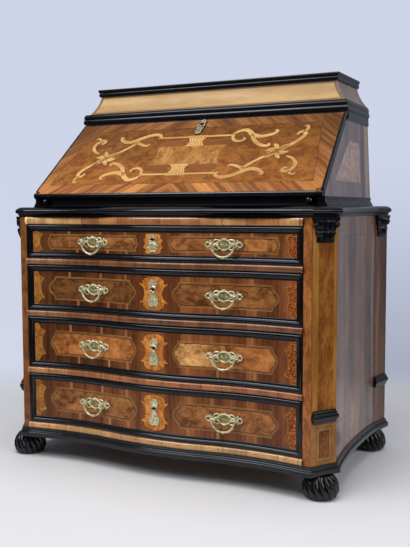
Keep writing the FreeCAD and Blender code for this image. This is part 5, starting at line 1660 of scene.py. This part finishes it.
# Carved capital: floor, height, reach, share of the height where its slab starts and its two tiers meet, and scrolls
CAPITAL_FLOOR = 0.6595
CAPITAL_HEIGHT = 0.063
CAPITAL_REACH = 0.012
SLAB_START = 0.88
TIER_SPLIT = 0.45
SCROLL_RADIUS = 0.0072
SCROLL_HEIGHT = 0.7015
POST_HALF = 0.0416


class DESK_OT_ornaments(bpy.types.Operator):
    """Carved capitals and moulded blocks of the pilasters"""
    bl_idname = "desk.ornaments"
    bl_label = "Capitals and blocks"

    def execute(self, context):
        capitals = Sheets()
        blocks = Sheets()
        for face in POST_FACES:
            for side in (1, -1):
                self.add_capital(capitals, face, side)
                rise, wide, reach = (column(row) for row in smooth_line(BLOCK_LINE, 65).T)
                reach = BLOCK_REACH * np.minimum(reach, 1)
                wide = np.minimum(wide, 1)
                z = BLOCK_FLOOR + BLOCK_HEIGHT * rise
                self.add_shape(blocks, face, side, wide * np.linspace(-1, 1, 9)[None], reach, z)
        capitals.black_piece("carved_capitals", "pilaster_capitals", 50)
        blocks.black_piece("moulded_blocks", "pilaster_blocks")
        return {"FINISHED"}

    def add_shape(self, sheets, face, side, across, out, z):
        """Face grid with its ends, top and underside carried back to the pilaster."""
        front = on_post(face, side, across, out, z)
        root = on_post(face, side, across, 0 * out, z)
        way = post_way(face, side)
        along = np.array((side * face[1][0], face[1][1], 0))
        sheets.grid(front, way)
        for index, outward in ((0, -along), (-1, along)):
            sheets.grid(np.stack([front[:, index], root[:, index]], 1), outward)
        for index, outward in ((0, (0, 0, -1)), (-1, (0, 0, 1))):
            sheets.grid(np.stack([front[index], root[index]]), outward)

    def add_capital(self, sheets, face, side):
        """Carved capital: two tiers of ribbed leaves that lean out, a scroll at each upper corner and a slab."""
        u = np.linspace(-1, 1, 81)[None]
        v = column(np.linspace(0, 1, 65))
        wide = 0.62 + 0.34 * v ** 1.3
        wide = np.where(v > SLAB_START, 0.98, wide) + 0.035 * np.sin(7 * np.pi * v) * (v < SLAB_START)
        upper = (v - TIER_SPLIT) / (SLAB_START - TIER_SPLIT)
        tier = np.where(v < TIER_SPLIT, v / TIER_SPLIT, np.clip(upper, 0, 1))
        count = np.where(v < TIER_SPLIT, 1.5, 2.0)
        leaf = np.abs(np.cos(count * np.pi * u)) ** 0.55 * np.sin(np.pi * np.clip(tier, 0, 1) ** 1.6 * 0.8) ** 0.8
        veins = 0.09 * np.cos(7 * count * np.pi * u) * leaf
        out = 0.40 + 0.2 * v + 0.42 * leaf + veins - 0.1 * u ** 2
        out = np.where(v > SLAB_START, 0.97 - 0.1 * (np.abs(u) > 0.97), np.clip(out, 0.1, 1))
        self.add_shape(sheets, face, side, wide * u, CAPITAL_REACH * out, CAPITAL_FLOOR + CAPITAL_HEIGHT * v)
        spin = np.linspace(0, 3.4 * np.pi, 49)
        radius = SCROLL_RADIUS * (1 - 0.75 * spin / spin[-1])
        for left in (-1, 1):
            across = left * (0.76 + radius * np.cos(spin) / POST_HALF)
            path = on_post(face, side, across, 0.0092 + 0 * spin, SCROLL_HEIGHT + radius * np.sin(spin))
            sheets.tube(path, np.linspace(0.0021, 0.0012, 49), across=post_way(face, side), sides=8)


# Camera's place and its turns in degrees; tones of the room and the horizon, low to high and left to right
CAMERA_PLACE = (1.128, -2.2302, 0.7482)
CAMERA_TURNS = ((26.42, "Z"), (90 - 4.591, "X"), (-0.206, "Z"))
ROOM_TONES = ((0.05, 0.05, 0.06), (0.24, 0.25, 0.28))
HORIZON_TONES = ((0.64, 0.68, 0.80), (0.37, 0.40, 0.50))
FLOOR_HALF = 3.5
FLOOR_FADE = (0.9, 1.7)

# Lights: place, the point they face and width; then which one skips the floor and which lights nothing else
LIGHTS = {"key": ((-1.7, -3.0, 2.3), (0, 0, 0.6), 2.2), "top": ((-0.6, -1.7, 3.1), (0, 0, 0.7), 2.4),
          "gloss": ((-1.5, -2.2, 3.2), (0, 0, 0.5), 1.6), "overhead": ((0.1, -0.5, 3.6), (0.1, -0.49, 0), 2.6),
          "rim": ((3.0, -0.6, 1.9), (0.4, 0, 0.6), 1.8)}
LIT_FLOOR = {"key": "EXCLUDE", "overhead": "INCLUDE"}
GLOSS_COLOUR = (0.74, 0.84, 1.0)
GLOSS_DEPTH = 0.9


class DESK_OT_stage(bpy.types.Operator):
    """Camera, floor, backdrop and soft lights"""
    bl_idname = "desk.stage"
    bl_label = "Stage"

    def execute(self, context):
        scene = context.scene
        look = scene.desk_stage
        lens = bpy.data.cameras.new("camera")
        lens.lens = look.lens
        camera = bpy.data.objects.new("camera", lens)
        place = Matrix.Translation(CAMERA_PLACE)
        for angle, axis in CAMERA_TURNS:
            place = place @ Matrix.Rotation(math.radians(angle), 4, axis)
        camera.matrix_world = place
        scene.collection.objects.link(camera)
        scene.camera = camera

        mesh = bpy.data.meshes.new("floor")
        corners = [(x * FLOOR_HALF, y * FLOOR_HALF, 0) for x, y in ((-1, -1), (1, -1), (1, 1), (-1, 1))]
        mesh.from_pydata(corners, [], [(0, 1, 2, 3)])
        material, shade, shader = new_finish("floor")
        shader.inputs["Base Color"].default_value = (*look.floor, 1)
        shader.inputs["Roughness"].default_value = 0.6
        x, y, _ = shade.split(shade.here())
        far = shade.math("SQRT", shade.math("ADD", shade.times(x, x), shade.times(y, y)))
        clear = shade.add("ShaderNodeBsdfTransparent").outputs[0]
        both = shade.add("ShaderNodeMixShader", {0: shade.ramp(far, *FLOOR_FADE), 1: shader.outputs[0], 2: clear})
        shade.feed(material.node_tree.nodes["Material Output"].inputs["Surface"], both.outputs[0])
        mesh.materials.append(material)
        floor = bpy.data.objects.new("floor", mesh)
        scene.collection.objects.link(floor)

        world = bpy.data.worlds.new("backdrop")
        world.use_nodes = True
        sky = Shade(world.node_tree)
        across, deep, height = sky.split(sky.add("ShaderNodeTexCoord").outputs["Generated"])
        front = sky.mix(sky.ramp(height, -0.1, 0.9), *ROOM_TONES)
        behind = sky.mix(0.62, look.backdrop, (0, 0, 0))
        room = sky.mix(sky.ramp(deep, -0.1, 0.6), front, behind)
        low = sky.mix(sky.ramp(across, -0.62, -0.25), *HORIZON_TONES)
        seen = sky.mix(sky.ramp(height, -0.24, 0.08), low, look.backdrop)
        direct = sky.add("ShaderNodeLightPath").outputs["Is Camera Ray"]
        sky.feed(world.node_tree.nodes["Background"].inputs["Color"], sky.mix(direct, room, seen))
        scene.world = world
        for name, (place, aim, wide) in LIGHTS.items():
            lamp = bpy.data.lights.new(name, "AREA")
            lamp.energy = getattr(look, name)
            lamp.size = wide
            light = bpy.data.objects.new(name, lamp)
            way = Vector(aim) - Vector(place)
            light.matrix_world = Matrix.Translation(place) @ way.to_track_quat("-Z", "Y").to_matrix().to_4x4()
            light.visible_glossy = name != "key"
            light.visible_diffuse = name != "gloss"
            if name in LIT_FLOOR:
                reach = bpy.data.collections.new(name + "_reach")
                reach.objects.link(floor)
                reach.collection_objects[0].light_linking.link_state = LIT_FLOOR[name]
                light.light_linking.receiver_collection = reach
            if name == "gloss":
                lamp.shape = "RECTANGLE"
                lamp.size_y = GLOSS_DEPTH
                lamp.color = GLOSS_COLOUR
            scene.collection.objects.link(light)
        scene.view_settings.view_transform = "Standard"
        return {"FINISHED"}


class DESK_PT_panel(bpy.types.Panel):
    """Sizes, colours and steps of the desk"""
    bl_label = "Slant-front desk"
    bl_idname = "DESK_PT_panel"
    bl_space_type = "VIEW_3D"
    bl_region_type = "UI"
    bl_category = "Desk"

    def draw(self, context):
        for step in STEPS:
            self.layout.operator(step.bl_idname)
        for group in (context.scene.desk_sizes, context.scene.desk_stage, context.scene.desk_colours):
            for name in group.__annotations__:
                self.layout.prop(group, name)


STEPS = (DESK_OT_stage, DESK_OT_finishes, DESK_OT_chest_mouldings, DESK_OT_rails, DESK_OT_drawer_frames,
         DESK_OT_hood, DESK_OT_feet, DESK_OT_brass, DESK_OT_marquetry, DESK_OT_strapwork, DESK_OT_ornaments)
GROUPS = {"desk_colours": DeskColours, "desk_sizes": DeskSizes, "desk_stage": DeskStage}


def register():
    for kind in (*GROUPS.values(), *STEPS, DESK_PT_panel):
        bpy.utils.register_class(kind)
    for name, group in GROUPS.items():
        setattr(bpy.types.Scene, name, PointerProperty(type=group))


def unregister():
    for name in GROUPS:
        delattr(bpy.types.Scene, name)
    for kind in reversed((*GROUPS.values(), *STEPS, DESK_PT_panel)):
        bpy.utils.unregister_class(kind)


def main():
    register()
    for step in STEPS:
        space, name = step.bl_idname.split(".")
        getattr(getattr(bpy.ops, space), name)()


if __name__ == "__main__":
    main()
